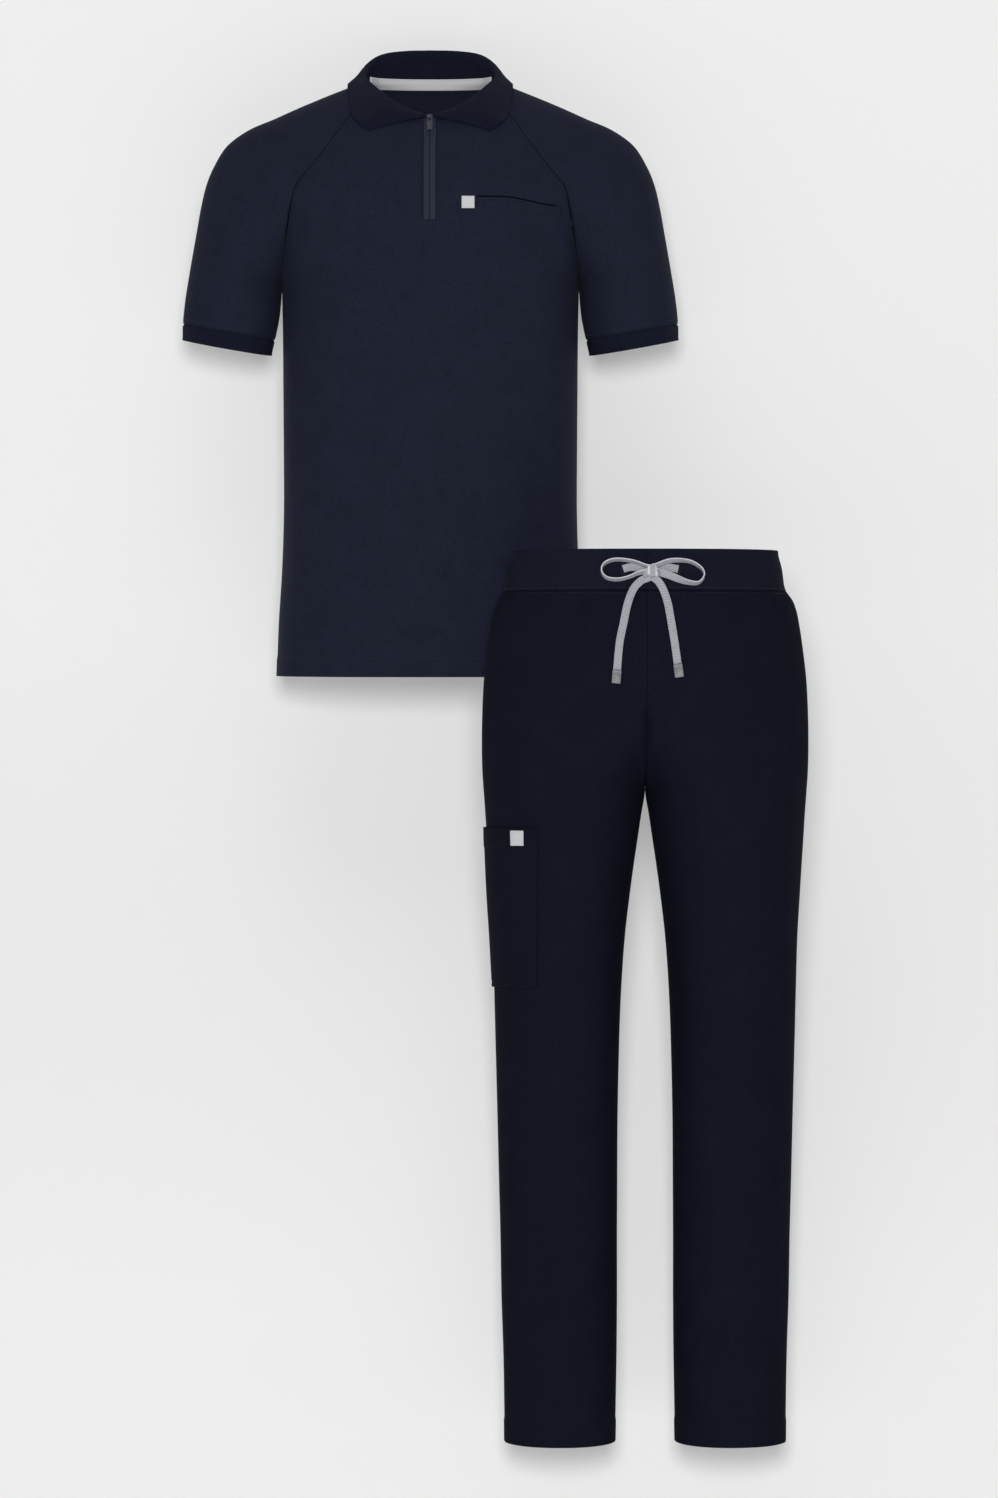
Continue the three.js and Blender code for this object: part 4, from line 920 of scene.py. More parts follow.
def collarSection(station):
    at = {name: line(station) for name, line in collarCurves.items()}
    fold = Vector((at["foldX"], at["foldY"], at["foldZ"]))
    edge = Vector((at["edgeX"], at["edgeY"], at["edgeZ"]))
    out = Vector((fold.x, fold.y - collar["axisY"], 0)).normalized()
    if station < 1:
        out = out.lerp(Vector((0, -1, 0)), 1 - station).normalized()
    base = necklineAt(max(neckAngle(fold), neckAngle(neckRing[0])))
    base -= out * (cloth["thickness"] + cloth["seamGap"])
    base.z += cloth["seamGap"]
    inside = fold - out * collar["foldHalf"]
    inside.z = max(inside.z - collar["standBelow"], base.z + collar["standLeast"])
    outside = fold + out * collar["foldHalf"]
    outside.z -= collar["leafBelow"]
    between = [outside.lerp(edge, p["share"]) + out * p["out"] for p in (collar["bend"], collar["low"])]
    leaf = [clearOfBody(p) for p in (outside, *between, edge)]
    return [base, base.lerp(inside, 0.5), inside, fold, *leaf]


def sectionLine(points):
    # one smooth line through a section, by shares of its length
    lengths = [0.0]
    for a, b in zip(points, points[1:]):
        lengths.append(lengths[-1] + (b - a).length)
    rows = [{"s": s / lengths[-1], "x": p.x, "y": p.y, "z": p.z} for s, p in zip(lengths, points)]
    along = [curve(rows, c, "s") for c in "xyz"]
    return lambda share: Vector([line(share) for line in along])


def makeCollar():
    half = collar["columns"] // 2
    last = len(collarHalf) - 1
    lines = [sectionLine(collarSection(last * n / half)) for n in range(half + 1)]

    def place(i, j):
        n = abs(i - half)
        spot = lines[half - n](j / collar["rows"])
        return Vector((math.copysign(spot.x, i - half), spot.y, spot.z))

    def relief(i, j):
        # a knitted edge a little thicker than the rest, and a soft wave round the leaf
        s, n = j / collar["rows"], (i - half) / half
        edge = 0.35 * math.exp(-((1 - s) / 0.02) ** 2)
        wave = 0.45 * math.sin(9 * n + 1) * smoothstep(s, 0.6, 1)
        return edge + wave

    return clothPiece("collar_rib", collar["columns"], collar["rows"], place, {
        "relief": relief, "material": ribKnit, "slot": "rib_knit", "nodes": ["collar"],
        "thickness": cloth["rib"], "cut": {**collar["cut"], "held": "folded"},
    })


# Sections run from the middle of the back round to the zip on each side, so the grid's columns do too.
makeCollar()

tape = {"top": 24.5, "seam": 17.5, "bottom": 11, "behind": 4.6, "start": 5.75, "columns": 40,
        "rows": 12, "stitch": 1.6, "cut": {"flat": (0.16, 0.016)}}


def tapeSection(station):
    points = collarSection(station)
    base, inside = points[0], points[2]
    out = Vector((base.x, base.y - collar["axisY"], 0)).normalized()
    at = lambda z: base.lerp(inside, (z - base.z) / (inside.z - base.z))
    high = at(tape["top"]) - out * (cloth["lay"] + cloth["tab"])
    seam = at(tape["seam"] + cloth["lay"]) - out * (cloth["lay"] + cloth["tab"])
    depth = rayDepth(topTrees, base.x, tape["bottom"], 1) - tape["behind"]
    return [Vector((base.x, depth, tape["bottom"])), seam, high]


def makeTape():
    half = tape["columns"] // 2
    last = len(collarHalf) - 1
    lines = [sectionLine(tapeSection(mix(tape["start"], last, n / half))) for n in range(half + 1)]

    def place(i, j):
        n = abs(i - half)
        spot = lines[half - n](j / tape["rows"])
        return Vector((math.copysign(spot.x, i - half), spot.y, spot.z))

    piece, tree = clothPiece("neck_tape_twill", tape["columns"], tape["rows"], place, {
        "material": greyTape, "slot": "neck_tape", "nodes": ["neck_tape"], "thickness": cloth["tab"],
        "cut": {**tape["cut"], "held": "laid"},
    })
    bm = bmesh.new()
    for j in (tape["stitch"] / 16, 1 - tape["stitch"] / 16):
        row = [place(i, j * tape["rows"]) for i in range(1, tape["columns"])]
        stitchLine(bm, [tree], row)
    return bm


def finishThread(name, bm, material, slot):
    weave = bm.loops.layers.uv.new("weave")
    for face in bm.faces:
        for loop in face.loops:
            loop[weave].uv = (loop.vert.co.x, loop.vert.co.z)
    return finishPiece(name, bm, material, slot)


finishThread("neck_tape_stitches", makeTape(), greyThread, "neck_tape")

# The zip: a tape on each side with its coil behind it, a slider and its pull

zipper = {"columns": 12, "stitchFrom": [2.2], "coil": {"pitch": 1.25, "length": 3.2, "wire": 0.75},
          "cut": {"flat": (0.01, 0.138)}}


def makeZip():
    start = levelAt("front", cloth["zipBottom"] + cloth["seamGap"])
    levels = spaced(start, neckLevel, 60)
    rows = [panelRow("front", level) for level in levels]
    near, far = cloth["seamGap"] / 2, cloth["zipWidth"] / 2 - cloth["seamGap"]
    threads = bmesh.new()
    coil = bmesh.new()
    for name, side in (("left", 1), ("right", -1)):
        def spotAt(share, j, side=side):
            return panelPoint("front", levels[j], side * mix(near, far, share), rows[j])

        def relief(i, j):
            # the tape's woven edge turns in at the middle, and dips along the seam
            share = i / zipper["columns"]
            return -0.35 * math.exp(-(share / 0.07) ** 2) - 0.3 * math.exp(-((1 - share) / 0.08) ** 2)

        piece, tree = clothPiece(f"zip_tape_{name}_cloth", zipper["columns"], len(levels) - 1,
                                 lambda i, j: spotAt(i / zipper["columns"], j), {
            "facing": side, "relief": relief, "material": zipCloth, "slot": "zip_tape",
            "nodes": [f"zip_tape_{name}"], "thickness": cloth["tab"],
            "cut": {**zipper["cut"], "held": "hung"},
        })
        for inset in zipper["stitchFrom"]:
            row = [spotAt(1 - inset / (far - near), j) for j in range(len(levels))]
            stitchLine(threads, [tree], row, {"length": 2.3, "gap": 0.7, "width": 0.5, "height": 0.42})
        edge = [panelPoint("front", level, side * (cloth["zipWidth"] / 2 + 1.5), row)
                for level, row in zip(levels, rows)]
        stitchLine(threads, [frontTree], edge)
        long = sum((spotAt(0, j + 1) - spotAt(0, j)).length for j in range(len(levels) - 1))
        count = int(long / zipper["coil"]["pitch"])
        for n in range(count):
            at = (n + (0.5 if side > 0 else 0)) / count * (len(levels) - 1)
            j = min(int(at), len(levels) - 2)
            spot = spotAt(0.12, j).lerp(spotAt(0.12, j + 1), at - j)
            spot.y += cloth["tab"] + 1.0
            size = Matrix.Diagonal((zipper["coil"]["length"] * mm, 1.2 * mm, zipper["coil"]["wire"] * mm, 1))
            bmesh.ops.create_uvsphere(coil, u_segments=6, v_segments=4, radius=0.5,
                                      matrix=Matrix.Translation(spot * mm) @ size)
    bottom = [panelPoint("front", start, x) for x in spaced(-far - 1, far + 1, 8)]
    for drop in (1.6, 4.0):
        stitchLine(threads, [frontTree], [p + Vector((0, 0, -drop)) for p in bottom])
    finishThread("zip_stitches", threads, navyThread, "zip_tape")
    finishPiece("zip_coil", coil, darkMetal, "zip_metal")


makeZip()


def refined(name, node, rides, edge):
    # a copy of a solid with its edges eased
    bm = bmesh.new()
    bm.from_mesh(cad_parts[node].data)
    bmesh.ops.remove_doubles(bm, verts=bm.verts, dist=1e-6)
    bmesh.ops.dissolve_limit(bm, angle_limit=0.02, verts=bm.verts[:], edges=bm.edges[:])
    sharp = [e for e in bm.edges if e.calc_face_angle(0) > 0.5]
    bmesh.ops.bevel(bm, geom=sharp, offset=edge * mm, affect="EDGES", segments=2, profile=0.5, material=-1,
                    clamp_overlap=True)
    bmesh.ops.recalc_face_normals(bm, faces=bm.faces)
    return finishPiece(name, bm, darkMetal, "zip_metal", rides=rides, nodes=[node])


refined("zip_slider_metal", "zip_slider", body, 0.22)
refined("zip_pull_metal", "zip_pull", "zip_pull", 0.28)
print("collar and zip made")


# The chest pocket's welt and the two plain tabs

def makePatch(name, trees, sign, columns, rows, place, lift, options):
    # a patch laid on a panel: place gives X and Z for two shares
    def spot(i, j):
        x, z = place(i / columns, j / rows)
        depth = rayDepth(trees, x, z, sign)
        point, normal = onSurface(trees, Vector((x, sign * depth, z)), lift + options["thickness"])
        return point

    return clothPiece(name, columns, rows, spot, {"facing": -sign, **options})


# the size of a stroke of painted shade along a seam or a pocket's mouth
shadeStroke = {"length": 4, "gap": -2.4, "width": 1.5, "height": 0.24}
welt = {"left": 56, "right": 156, "top": -132, "height": 15, "drop": 9, "dropFrom": 84, "dropTo": 152,
        "cut": {"flat": (0.106, 0.016)}}
tab = {"left": 38, "top": -131, "width": 15, "height": 14.5, "stitch": 1.3}


def weltTop(x):
    return welt["top"] - welt["drop"] * smoothstep(x, welt["dropFrom"], welt["dropTo"])


def frontRow(trees, places):
    return [Vector((x, -rayDepth(trees, x, z, -1), z)) for x, z in places]


def makeChestPocket():
    def place(along, up):
        x = mix(welt["left"], welt["right"], along)
        return x, weltTop(x) - welt["height"] * (1 - up)

    def relief(i, j):
        # a rolled top edge that casts a line, and a foot that runs out level with the chest
        roll = 0.5 * math.exp(-((j - 11) / 1.8) ** 2) - 0.3 * math.exp(-((12 - j) / 0.6) ** 2)
        return roll - 2.4 * (1 - smoothstep(j, 0, 5))

    piece, tree = makePatch("chest_pocket_welt_cloth", [frontTree, sleeveTrees[0]], -1, 60, 12, place,
                            cloth["lay"], {
        "relief": relief, "material": navyTop, "slot": "top_cloth", "nodes": ["chest_pocket_welt"],
        "thickness": cloth["tab"], "cut": {**welt["cut"], "held": "laid"},
    })
    bm = bmesh.new()
    row = frontRow([tree], [place(a, 0.8) for a in spaced(0.015, 0.985, 50)])
    stitchLine(bm, [tree], row, {"height": 0.24})
    for along in (0.012, 0.99):
        row = frontRow([tree], [place(along, a) for a in spaced(0.12, 1, 12)])
        stitchLine(bm, [tree], row, {"length": 1.5, "gap": 0.1, "width": 1.1})
    finishThread("chest_pocket_stitches", bm, seamThread, "top_cloth")
    # a near-black line along the welt's top: painted shade where the pocket opens
    mouthShade = bmesh.new()
    row = frontRow([frontTree], [(x, weltTop(x) + 1) for x in spaced(welt["left"] + 1, welt["right"] - 7, 60)])
    stitchLine(mouthShade, [frontTree], row, {**shadeStroke, "width": 2.2, "height": 0.5})
    finishThread("chest_pocket_mouth_painted_shade", mouthShade, paintedShade, "top_cloth")

    def square(along, up):
        return tab["left"] + tab["width"] * along, tab["top"] - tab["height"] * (1 - up)

    makeTab("chest_tab", [frontTree], square, cloth["lay"], tab)


def makeTab(name, trees, square, lift, size):
    # a folded woven tab with a puffed edge, sewn down all round
    steps = 14

    def relief(i, j):
        edge = min(i, j, steps - i, steps - j) / steps
        return 0.25 * math.exp(-((edge - 0.03) / 0.03) ** 2) - 0.2 * math.exp(-((edge - 0.1) / 0.03) ** 2)

    piece, tree = makePatch(f"{name}_woven", trees, -1, steps, steps, square, lift, {
        "relief": relief, "material": whiteTab, "slot": "white_tab", "nodes": [name],
        "thickness": cloth["tab"], "cut": {"flat": (size["width"] * mm, size["height"] * mm), "held": "laid"},
    })
    bm = bmesh.new()
    inset = 0.1
    corners = [(inset, inset), (1 - inset, inset), (1 - inset, 1 - inset), (inset, 1 - inset), (inset, inset)]
    for (a, b), (c, d) in zip(corners, corners[1:]):
        places = [square(mix(a, c, t), mix(b, d, t)) for t in spaced(0, 1, 6)]
        row = frontRow([tree], places)
        stitchLine(bm, [tree], row, {"length": 1.8, "gap": 0.6, "width": 0.4, "height": 0.26})
    finishThread(f"{name}_stitches", bm, greyThread, "white_tab")


makeChestPocket()
print("chest pocket made")


# The trousers: their middle stands at x and y, and X of a leg is counted from the middle seam

trousers = {
    "x": 252.9, "y": -205, "waistTop": -553.5, "waistSeam": -601, "crotch": -833, "seatEnd": -745,
    "round": 2.2, "tilt": 0.06, "hem": -1592, "tiltStart": -1450, "inner": 14, "outer": 16,
    "columns": 44, "rowStep": 6, "hemStitch": 25, "hemThick": 0.7,
    "cut": {"front": {"flat": (0.29, 1.0), "area": 0.242}, "back": {"flat": (0.30, 1.0), "area": 0.25}},
}
legSide = table("z outer inner", [
    (-1592, 164.6, 35), (-1565, 164.9, 34.5), (-1495, 166, 33.3), (-1424, 168.3, 32.7),
    (-1354, 169.5, 32.7), (-1284, 171.3, 32.4), (-1214, 173, 32), (-1144, 174.8, 30.6),
    (-1097, 176, 29.2), (-1050, 177.1, 26.9), (-1003, 178.5, 23.4), (-957, 181.2, 18.1),
    (-910, 184.1, 11.7), (-887, 185.6, 8.2), (-863, 187, 4.7), (-833, 189.2, 0), (-816, 190.4, 0),
    (-770, 191.3, 0), (-732, 190.4, 0), (-702, 188.7, 0), (-681, 186.4, 0), (-661, 183.8, 0),
    (-641, 180.8, 0), (-621, 176.6, 0), (-611, 172.6, 0), (-601, 165.4, 0), (-585, 161.2, 0),
    (-567, 158, 0), (-553, 155.2, 0),
])
legDepth = table("z front back legFront legBack", [
    (-1592, 62, 62, 62, 66), (-1400, 66, 66, 66, 69), (-1200, 74, 74, 74, 76), (-1050, 84, 88, 84, 88),
    (-930, 93, 101, 93, 101), (-833, 101, 114, 101, 114), (-770, 112, 126, 103, 116),
    (-700, 116, 125, 103, 116), (-640, 112, 116, 101, 112), (-601, 106, 106, 100, 106),
    (-553, 103, 101, 100, 101),
])
legOuter, legInner = curve(legSide, "outer", "z"), curve(legSide, "inner", "z")
seatDepth = {"front": curve(legDepth, "front", "z"), "back": curve(legDepth, "back", "z")}
tubeDepth = {"front": curve(legDepth, "legFront", "z"), "back": curve(legDepth, "legBack", "z")}


def roundness(share, power):
    return max(0.0, 1 - abs(share) ** power) ** (1 / power)


def legRow(face, z):
    parting = clamp((trousers["seatEnd"] - z) / (trousers["seatEnd"] - trousers["crotch"]), 0, 1)
    return legOuter(z), max(legInner(z), 0), tubeDepth[face](z), seatDepth[face](z), (1 - parting ** 2) ** 1.5


crotchPinch = {"front": 10, "back": 5}


def legPoint(face, side, z, x, row=None):
    outer, inner, tubeFull, seatFull, fade = row or legRow(face, z)
    middle = (outer + inner) / 2
    tube = tubeFull * roundness((x - middle) / (outer - middle), trousers["round"])
    seat = seatFull * roundness(x / outer, cloth["torsoRound"])
    both = (tube ** 3 * (1 - fade) + seat ** 3 * fade) ** (1 / 3)
    calm = 1 - smoothstep(x, outer - trousers["outer"], outer)
    inward = smoothstep(x, inner, inner + trousers["inner"])
    calm *= 1 if z > trousers["seatEnd"] else inward
    lift = foldLift(f"leg {face}", side * x, z) + waistGather(face, side * x, z)
    parting = clamp((trousers["seatEnd"] + 14 - z) / (trousers["seatEnd"] + 14 - trousers["crotch"]), 0, 1)
    pinch = crotchPinch[face] * math.sin(math.pi * parting) ** 0.7 * math.exp(-((x / 6.5) ** 2))
    depth = max(both + lift * calm - pinch, 0) - cloth["seamLap"]
    y = depth * (-1 if face == "front" else 1)
    lower = trousers["tilt"] * y * smoothstep(-z, -trousers["tiltStart"], -trousers["hem"])
    return Vector((trousers["x"] + side * x, trousers["y"] + y, z + lower))


gather = {"height": 2.4, "reach": 70, "wave": 9.5, "bandHeight": 0.55}


def waistGather(face, x, z):
    # uneven small pleats that hang from the waistband's seam and die out below it
    below = trousers["waistSeam"] - z
    if below > gather["reach"] * 2.6:
        return 0
    seed = 3 if face == "front" else 61
    long = 0.55 + 0.45 * noise.noise(Vector((x / 30, seed + 9, 0)))
    wave = noise.noise(Vector((x / gather["wave"], seed, z / 160)))
    fade = math.exp(-((below / (gather["reach"] * long)) ** 2))
    return gather["height"] * 1.6 * wave * fade * smoothstep(below, -4, 3)


def makeLegs():
    columns = trousers["columns"]
    zs = [trousers["hem"] + rise for rise in (0, 2, 6, 12, 18, 22.5, 24, 25, 26, 27.5, 31)]
    count = round((trousers["seatEnd"] - 60 - zs[-1]) / trousers["rowStep"])
    zs += spaced(zs[-1], trousers["crotch"], count)[1:]
    zs += spaced(trousers["crotch"], trousers["waistSeam"] - cloth["seamGap"], 58)[1:]
    trees = {}
    for face in ("front", "back"):
        rows = [legRow(face, z) for z in zs]
        for name, side in (("left", 1), ("right", -1)):
            def xAt(i, j, rows=rows):
                share = (1 - math.cos(math.pi * i / columns)) / 2
                return mix(max(rows[j][1], cloth["seamGap"] / 2), rows[j][0], share)

            def relief(i, j):
                rise = zs[j] - zs[0]
                hem = trousers["hemThick"] * (1 - smoothstep(rise, trousers["hemStitch"],
                                                             trousers["hemStitch"] + 2.5))
                dent = -0.35 * math.exp(-((rise - trousers["hemStitch"]) / 1.3) ** 2)
                x, outer = xAt(i, j), legOuter(zs[j])
                side = 0.45 * math.exp(-((outer - x - 4) / 2.6) ** 2)
                side -= 0.5 * math.exp(-((outer - x) / 1.2) ** 2)
                middle = -0.7 * math.exp(-(x / 1.3) ** 2) + 0.35 * math.exp(-((x - 4.5) / 2.6) ** 2)
                middle *= 1 - 0.7 * smoothstep(zs[j], -760, -700) if face == "front" else 1
                return hem + dent + side + middle * (zs[j] > trousers["crotch"])

            facing = side * (1 if face == "front" else -1)
            made = clothPiece(f"leg_{face}_{name}_cloth", columns, len(zs) - 1,
                              lambda i, j: legPoint(face, side, zs[j], xAt(i, j), rows[j]), {
                "facing": facing, "relief": relief, "material": navyTrousers, "slot": "trouser_cloth",
                "nodes": [f"leg_{face}_{name}"], "thickness": cloth["thickness"],
                "cut": trousers["cut"][face],
            })
            trees[face, name] = made[1]
    return trees


legTrees = makeLegs()

waistband = {"columns": 220, "rows": 26, "cut": {"flat": (0.87, 0.047)}}


def waistPoint(angle, z):
    across, along = math.sin(angle), math.cos(angle)
    depth = seatDepth["front" if along > 0 else "back"](z)
    power = 2 / cloth["torsoRound"]
    x = legOuter(z) * math.copysign(abs(across) ** power, across)
    y = -depth * math.copysign(abs(along) ** power, along)
    return Vector((trousers["x"] + x, trousers["y"] + y, z))


def makeWaistband():
    zs = spaced(trousers["waistSeam"], trousers["waistTop"], waistband["rows"])

    def relief(i, j):
        # rolled edges, the drawcord's channel stitched off, and small uneven puckers
        up = (zs[j] - zs[0]) / (zs[-1] - zs[0])
        angle = 2 * math.pi * (i % waistband["columns"]) / waistband["columns"]
        ring = Vector((math.cos(angle) * 16, math.sin(angle) * 16, up * 1.3))
        pucker = gather["bandHeight"] * noise.noise(ring * 1.5) * (0.45 + abs(up - 0.5))
        edges = 0.3 * math.exp(-((1 - up) / 0.05) ** 2) - 0.5 * math.exp(-(up / 0.035) ** 2)
        channel = -0.15 * math.exp(-((up - 0.2) / 0.03) ** 2) - 0.2 * math.exp(-((up - 0.88) / 0.03) ** 2)
        swell = 0.8 * math.exp(-((up - 0.52) / 0.2) ** 2)
        return pucker + edges + channel + swell - 0.3

    return clothPiece("waistband_cloth", waistband["columns"], waistband["rows"],
                      lambda i, j: waistPoint(2 * math.pi * i / waistband["columns"], zs[j]), {
        "ring": True, "relief": relief, "material": navyWaistLit, "slot": "trouser_cloth",
        "nodes": ["waistband"], "thickness": cloth["band"], "cut": {**waistband["cut"], "held": "gathered"},
    })


waistTree = makeWaistband()[1]

# The buttonholes that the drawstring comes out of

buttonhole = {"places": ((225.2, -577.3), (289.0, -577.3)), "height": 11, "width": 3.6, "thread": 1.1}


def makeButtonholes():
    bm = bmesh.new()
    holes = bmesh.new()
    for x, z in buttonhole["places"]:
        half = buttonhole["height"] / 2
        count = 60
        for n in range(count):
            turn = 2 * math.pi * n / count
            dx = buttonhole["width"] / 2 * math.copysign(abs(math.cos(turn)) ** 0.6, math.cos(turn))
            dz = half * math.copysign(abs(math.sin(turn)) ** 0.8, math.sin(turn))
            depth = rayDepth([waistTree], x + dx, z + dz, -1)
            spot, normal = onSurface([waistTree], Vector((x + dx, -depth, z + dz)), 0.12)
            out = Vector((dx, 0, dz)).normalized()
            long = buttonhole["thread"] * 1.5
            turnTo = Matrix((out * long * mm, normal.cross(out) * 0.55 * mm, normal * 0.5 * mm))
            bmesh.ops.create_uvsphere(bm, u_segments=5, v_segments=4, radius=0.5,
                                      matrix=Matrix.Translation(spot * mm) @ turnTo.transposed().to_4x4())
        # a near-black lens in each buttonhole: painted shade in the opening
        depth = rayDepth([waistTree], x, z, -1)
        size = Matrix.Diagonal((1.1 * mm, 0.5 * mm, (buttonhole["height"] - 3) * mm, 1))
        place = Matrix.Translation(Vector((x, -depth - 0.05, z)) * mm)
        bmesh.ops.create_uvsphere(holes, u_segments=10, v_segments=8, radius=0.5, matrix=place @ size)
    finishThread("buttonhole_stitches", bm, navyThread, "trouser_cloth")
    finishThread("buttonhole_painted_shade", holes, paintedShade, "trouser_cloth")


makeButtonholes()

# The cargo pocket on the right thigh, by angles round the leg from its outer line

pocket = {"top": -876, "bottom": -1062, "front": 1.24, "back": -0.7, "columns": 60, "rows": 70,
          "hem": 22, "cut": {"flat": (0.175, 0.19)}}
legTab = {"angle": 0.934, "size": 17.4, "top": -879.2, "legRadius": 84}


def roundLeg(angle, z):
    outer = legOuter(z)
    middle = (outer + max(legInner(z), 0)) / 2
    spot = legPoint("back" if angle < 0 else "front", -1, z, middle + (outer - middle) * math.cos(angle))
    if angle == 0:
        spot.y = trousers["y"]
    return spot


def makeCargoPocket():
    def place(i, j):
        angle = mix(pocket["back"], pocket["front"], i / pocket["columns"])
        z = mix(pocket["bottom"], pocket["top"], j / pocket["rows"])
        return roundLeg(angle, z)

    def relief(i, j):
        # turned edges, a folded top hem, and a little slack in the middle
        across, up = i / pocket["columns"], j / pocket["rows"]
        side, foot = min(across, 1 - across) * 165, up * (pocket["top"] - pocket["bottom"])
        drop = (1 - up) * (pocket["top"] - pocket["bottom"])
        edge = 0.5 * math.exp(-((min(side, foot) - 1.2) / 1.6) ** 2)
        edge -= 0.4 * math.exp(-((min(side, foot) - 5) / 1.4) ** 2)
        hem = 0.6 * (1 - smoothstep(drop, pocket["hem"], pocket["hem"] + 2.6))
        slack = 2.2 * math.sin(math.pi * across) * math.sin(math.pi * clamp(up * 0.98, 0, 1)) ** 0.8
        return cloth["lay"] + cloth["thickness"] + edge + hem + slack

    piece, tree = clothPiece("cargo_pocket_cloth", pocket["columns"], pocket["rows"], place, {
        "relief": relief, "material": navyTrousers, "slot": "trouser_cloth", "nodes": ["cargo_pocket"],
        "thickness": cloth["thickness"], "cut": {**pocket["cut"], "held": "hung"},
    })
    bm = bmesh.new()
    for inset in (1.6, 6.2):
        share = inset / 165
        low = inset / (pocket["top"] - pocket["bottom"])
        path = [(share, 0.995), (share, low), (1 - share, low), (1 - share, 0.995)]
        for (a, b), (c, d) in zip(path, path[1:]):
            row = [place(mix(a, c, t) * pocket["columns"], mix(b, d, t) * pocket["rows"])
                   for t in spaced(0, 1, 40)]
            stitchLine(bm, [tree], row)
    level = 1 - pocket["hem"] / (pocket["top"] - pocket["bottom"])
    row = [place(a * pocket["columns"], level * pocket["rows"]) for a in spaced(0.04, 0.96, 60)]
    stitchLine(bm, [tree], row)
    finishThread("cargo_pocket_stitches", bm, seamThread, "trouser_cloth")

    half = legTab["size"] / 2 / legTab["legRadius"]

    def square(along, up):
        z = legTab["top"] - legTab["size"] * (1 - up)
        spot = roundLeg(legTab["angle"] + mix(-half, half, along), z)
        return spot.x, z

    size = {"width": legTab["size"], "height": legTab["size"]}
    makeTab("leg_tab", [tree], square, cloth["lay"], size)


makeCargoPocket()
print("trousers made")


# Stitching on hems and seams

seamAllowance = {"length": 6, "gap": -4.2, "width": 7, "height": 0.5, "lift": -2.1}


def makeHemStitches():
    topHem = bmesh.new()
    level = topRows["hem"] + top["hemStitch"] - underarmZ
    for face, tree in (("front", frontTree), ("back", backTree)):
        row = panelRow(face, level)
        width = row[0] - 0.6
        line = [panelPoint(face, level, x, row) for x in
                (width * math.sin(a) for a in spaced(-math.pi / 2, math.pi / 2, 120))]
        stitchLine(topHem, [tree], line)
    finishThread("top_hem_stitches", topHem, navyThread, "top_cloth")

    raglan = bmesh.new()
    for face, tree in (("front", frontTree), ("back", backTree)):
        for side in (1, -1):
            line = []
            for level in spaced(0.5, neckLevel - 0.35, 90):
                row = panelRow(face, level)
                line.append(panelPoint(face, level, side * (row[0] - 5.5), row))
            stitchLine(raglan, [tree], line, {"height": 0.28})
    finishThread("raglan_stitches", raglan, seamThread, "top_cloth")

    # a line of painted shade along each raglan seam, and the seam allowances that lie behind it
    seamShade, allowances = bmesh.new(), bmesh.new()
    for face, tree in (("front", frontTree), ("back", backTree)):
        for side, arm in ((1, sleeveTrees[0]), (-1, sleeveTrees[1])):
            line = []
            for level in spaced(1.6, neckLevel - 0.3, 110):
                row = panelRow(face, level)
                line.append(panelPoint(face, level, side * (row[0] - 0.5), row))
            stitchLine(seamShade, [tree, arm], line, shadeStroke)
            stitchLine(allowances, [tree, arm], line, seamAllowance, seamAllowance["lift"])
    finishThread("raglan_seam_painted_shade", seamShade, paintedShade, "top_cloth")
    finishThread("raglan_seam_allowances", allowances, seamThread, "top_cloth")

    bands = bmesh.new()
    for side, tree in ((1, sleeveTrees[0]), (-1, sleeveTrees[1])):
        line = [sleeveSpot(side, i, 160, sleeve["bandTop"] + 0.22) for i in range(161)]
        stitchLine(bands, [tree], line)
    finishThread("sleeve_band_stitches", bands, navyThread, "top_cloth")

    legs = bmesh.new()
    z = trousers["hem"] + trousers["hemStitch"]
    for (face, name), tree in legTrees.items():
        side = 1 if name == "left" else -1
        inner, outer = legInner(z) + 0.5, legOuter(z) - 0.5
        line = [legPoint(face, side, z, mix(inner, outer, (1 - math.cos(a)) / 2))
                for a in spaced(0, math.pi, 90)]
        stitchLine(legs, [tree], line)
    finishThread("leg_hem_stitches", legs, seamThread, "trouser_cloth")

    waist = bmesh.new()
    line = [waistPoint(a, trousers["waistSeam"] + 2.4) for a in spaced(0, 2 * math.pi, 240)]
    stitchLine(waist, [waistTree], line, {"length": 2.2, "height": 0.26})
    skins = list(legTrees.values())
    for face in ("front", "back"):
        for side in (1, -1):
            zs = trousers["waistSeam"] - 3.2
            line = [legPoint(face, side, zs, x) for x in spaced(3, legOuter(zs) - 6, 90)]
            stitchLine(waist, skins, line)
    finishThread("waist_stitches", waist, navyThread, "trouser_cloth")

    # the mock fly's bar tacks and the seat seam's double row
    fly = bmesh.new()
    for x, high, low in ((3.2, -638, -650), (3.2, -668, -700), (8.1, -668, -695), (3.2, -716, -800)):
        line = [legPoint("front", 1, z, x) for z in spaced(high, low, 20)]
        stitchLine(fly, skins, line, {"width": 0.7, "height": 0.45})
    for x in (3.2, 8.0):
        line = [legPoint("back", 1, z, x) for z in spaced(trousers["waistSeam"] - 6, -812, 60)]
        stitchLine(fly, skins, line)
    finishThread("seat_stitches", fly, seamThread, "trouser_cloth")


makeHemStitches()
print("stitching made")

# The studio: a pale floor, a pale wall close behind for the soft shadows, and soft light

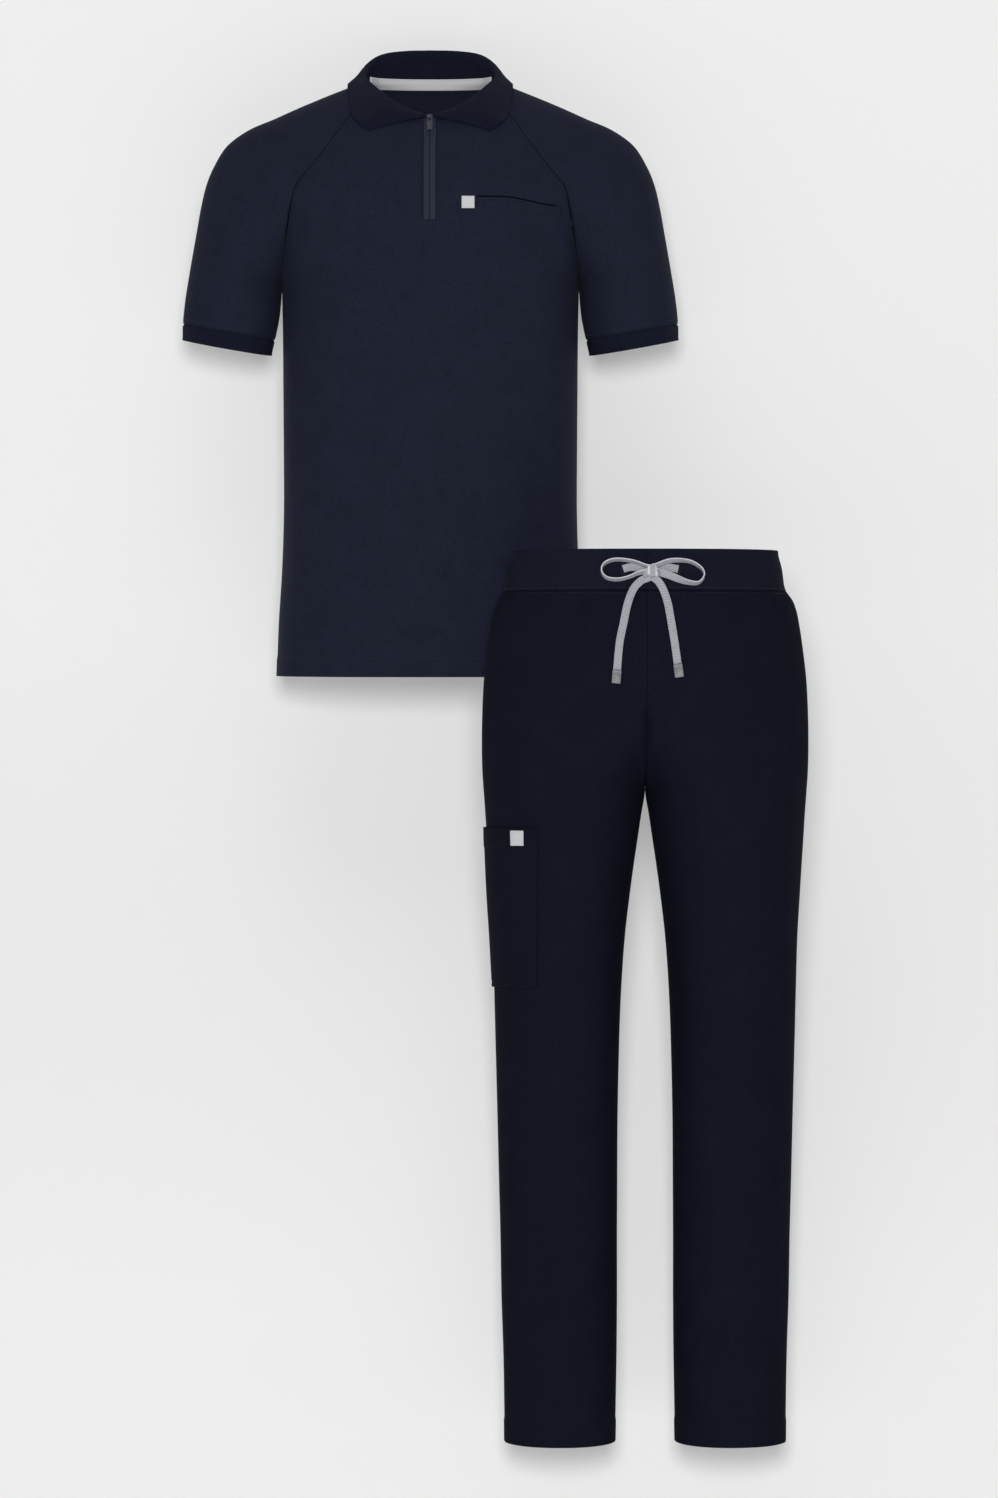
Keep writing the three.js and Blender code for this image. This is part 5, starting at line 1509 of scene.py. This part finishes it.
studio = {
    "floor": -1.72, "reach": 9, "floorTone": (0.55, 0.55, 0.55), "wallTone": (0.68, 0.68, 0.68),
    "floorGlow": 0.25, "wallGlow": 0.275,
    "wall": {"high": 0.145, "low": -0.065, "from": -0.62, "to": -1.45}, "world": 0.07, "backdrop": 0.72,
    "key": {"place": (0.02, -8.0, 0.06), "aim": (0.08, 0, -0.78), "size": 1.5, "power": 345},
    "top": {"place": (-0.1, -1.5, 2.3), "aim": (0.1, -0.1, -0.7), "size": 2.2, "power": 14},
    "back": {"place": (0.25, 6.0, 0.6), "aim": (0.1, 0, -0.8), "size": 2.0, "power": 190},
}


def stagePiece(name, bm, material):
    mesh = bpy.data.meshes.new(name)
    bm.to_mesh(mesh)
    bm.free()
    mesh.shade_smooth()
    mesh.materials.append(material)
    piece = bpy.data.objects.new(name, mesh)
    scene.collection.objects.link(piece)
    return piece


def paleMaterial(name, part):
    material, nodes, links, shader = newMaterial(name)
    shader.inputs["Base Color"].default_value = (*studio[part + "Tone"], 1)
    shader.inputs["Roughness"].default_value = 1
    shader.inputs["Specular IOR Level"].default_value = 0
    shader.inputs["Emission Color"].default_value = (1, 1, 1, 1)
    shader.inputs["Emission Strength"].default_value = studio[part + "Glow"]
    return material, nodes, links, shader


def makeStudio():
    pale = paleMaterial("paleBackdrop", "floor")[0]
    bm = bmesh.new()
    bmesh.ops.create_grid(bm, x_segments=1, y_segments=1, size=studio["reach"])
    bmesh.ops.translate(bm, verts=bm.verts, vec=(0.1, 0, studio["floor"]))
    floor = stagePiece("floor", bm, pale)

    oneSided, nodes, links, shader = paleMaterial("paleWall", "wall")
    through = nodes.new("ShaderNodeBsdfTransparent")
    geometry = nodes.new("ShaderNodeNewGeometry")
    choose = nodes.new("ShaderNodeMixShader")
    link(links, geometry, "Backfacing", choose, "Fac")
    links.new(shader.outputs["BSDF"], choose.inputs[1])
    links.new(through.outputs["BSDF"], choose.inputs[2])
    link(links, choose, "Shader", nodes["Material Output"], "Surface")
    bm = bmesh.new()
    shape = studio["wall"]
    heights = [studio["floor"], *spaced(shape["to"], shape["from"], 40), studio["reach"]]
    rows = len(heights) - 1
    bmesh.ops.create_grid(bm, x_segments=1, y_segments=rows, size=0.5)
    for v in bm.verts:
        z = heights[round((v.co.y + 0.5) * rows)]
        y = mix(shape["low"], shape["high"], smoothstep(z, shape["to"], shape["from"]))
        v.co = (2 * studio["reach"] * v.co.x, y, z)
    wall = stagePiece("wall", bm, oneSided)

    for name in ("key", "top", "back"):
        lamp = bpy.data.lights.new(name, "AREA")
        lamp.shape = "DISK"
        lamp.energy = studio[name]["power"]
        lamp.size = studio[name]["size"]
        lampObject = bpy.data.objects.new(name, lamp)
        lampObject.location = studio[name]["place"]
        aim = Vector(studio[name]["aim"]) - Vector(studio[name]["place"])
        lampObject.rotation_euler = aim.to_track_quat("-Z", "Y").to_euler()
        scene.collection.objects.link(lampObject)

    world = bpy.data.worlds.new("studio")
    world.use_nodes = True
    world.node_tree.nodes["Background"].inputs["Color"].default_value = (1, 1, 1, 1)
    # the room looks pale where nothing stands in front of it, and lights the garments only a little
    nodes, links = world.node_tree.nodes, world.node_tree.links
    path = nodes.new("ShaderNodeLightPath")
    strength = nodes.new("ShaderNodeMapRange")
    strength.inputs["To Min"].default_value = studio["world"]
    strength.inputs["To Max"].default_value = studio["backdrop"]
    link(links, path, "Is Camera Ray", strength, "Value")
    link(links, strength, "Result", nodes["Background"], "Strength")
    scene.world = world
    scene.view_settings.view_transform = "Standard"


makeStudio()
print("studio made")
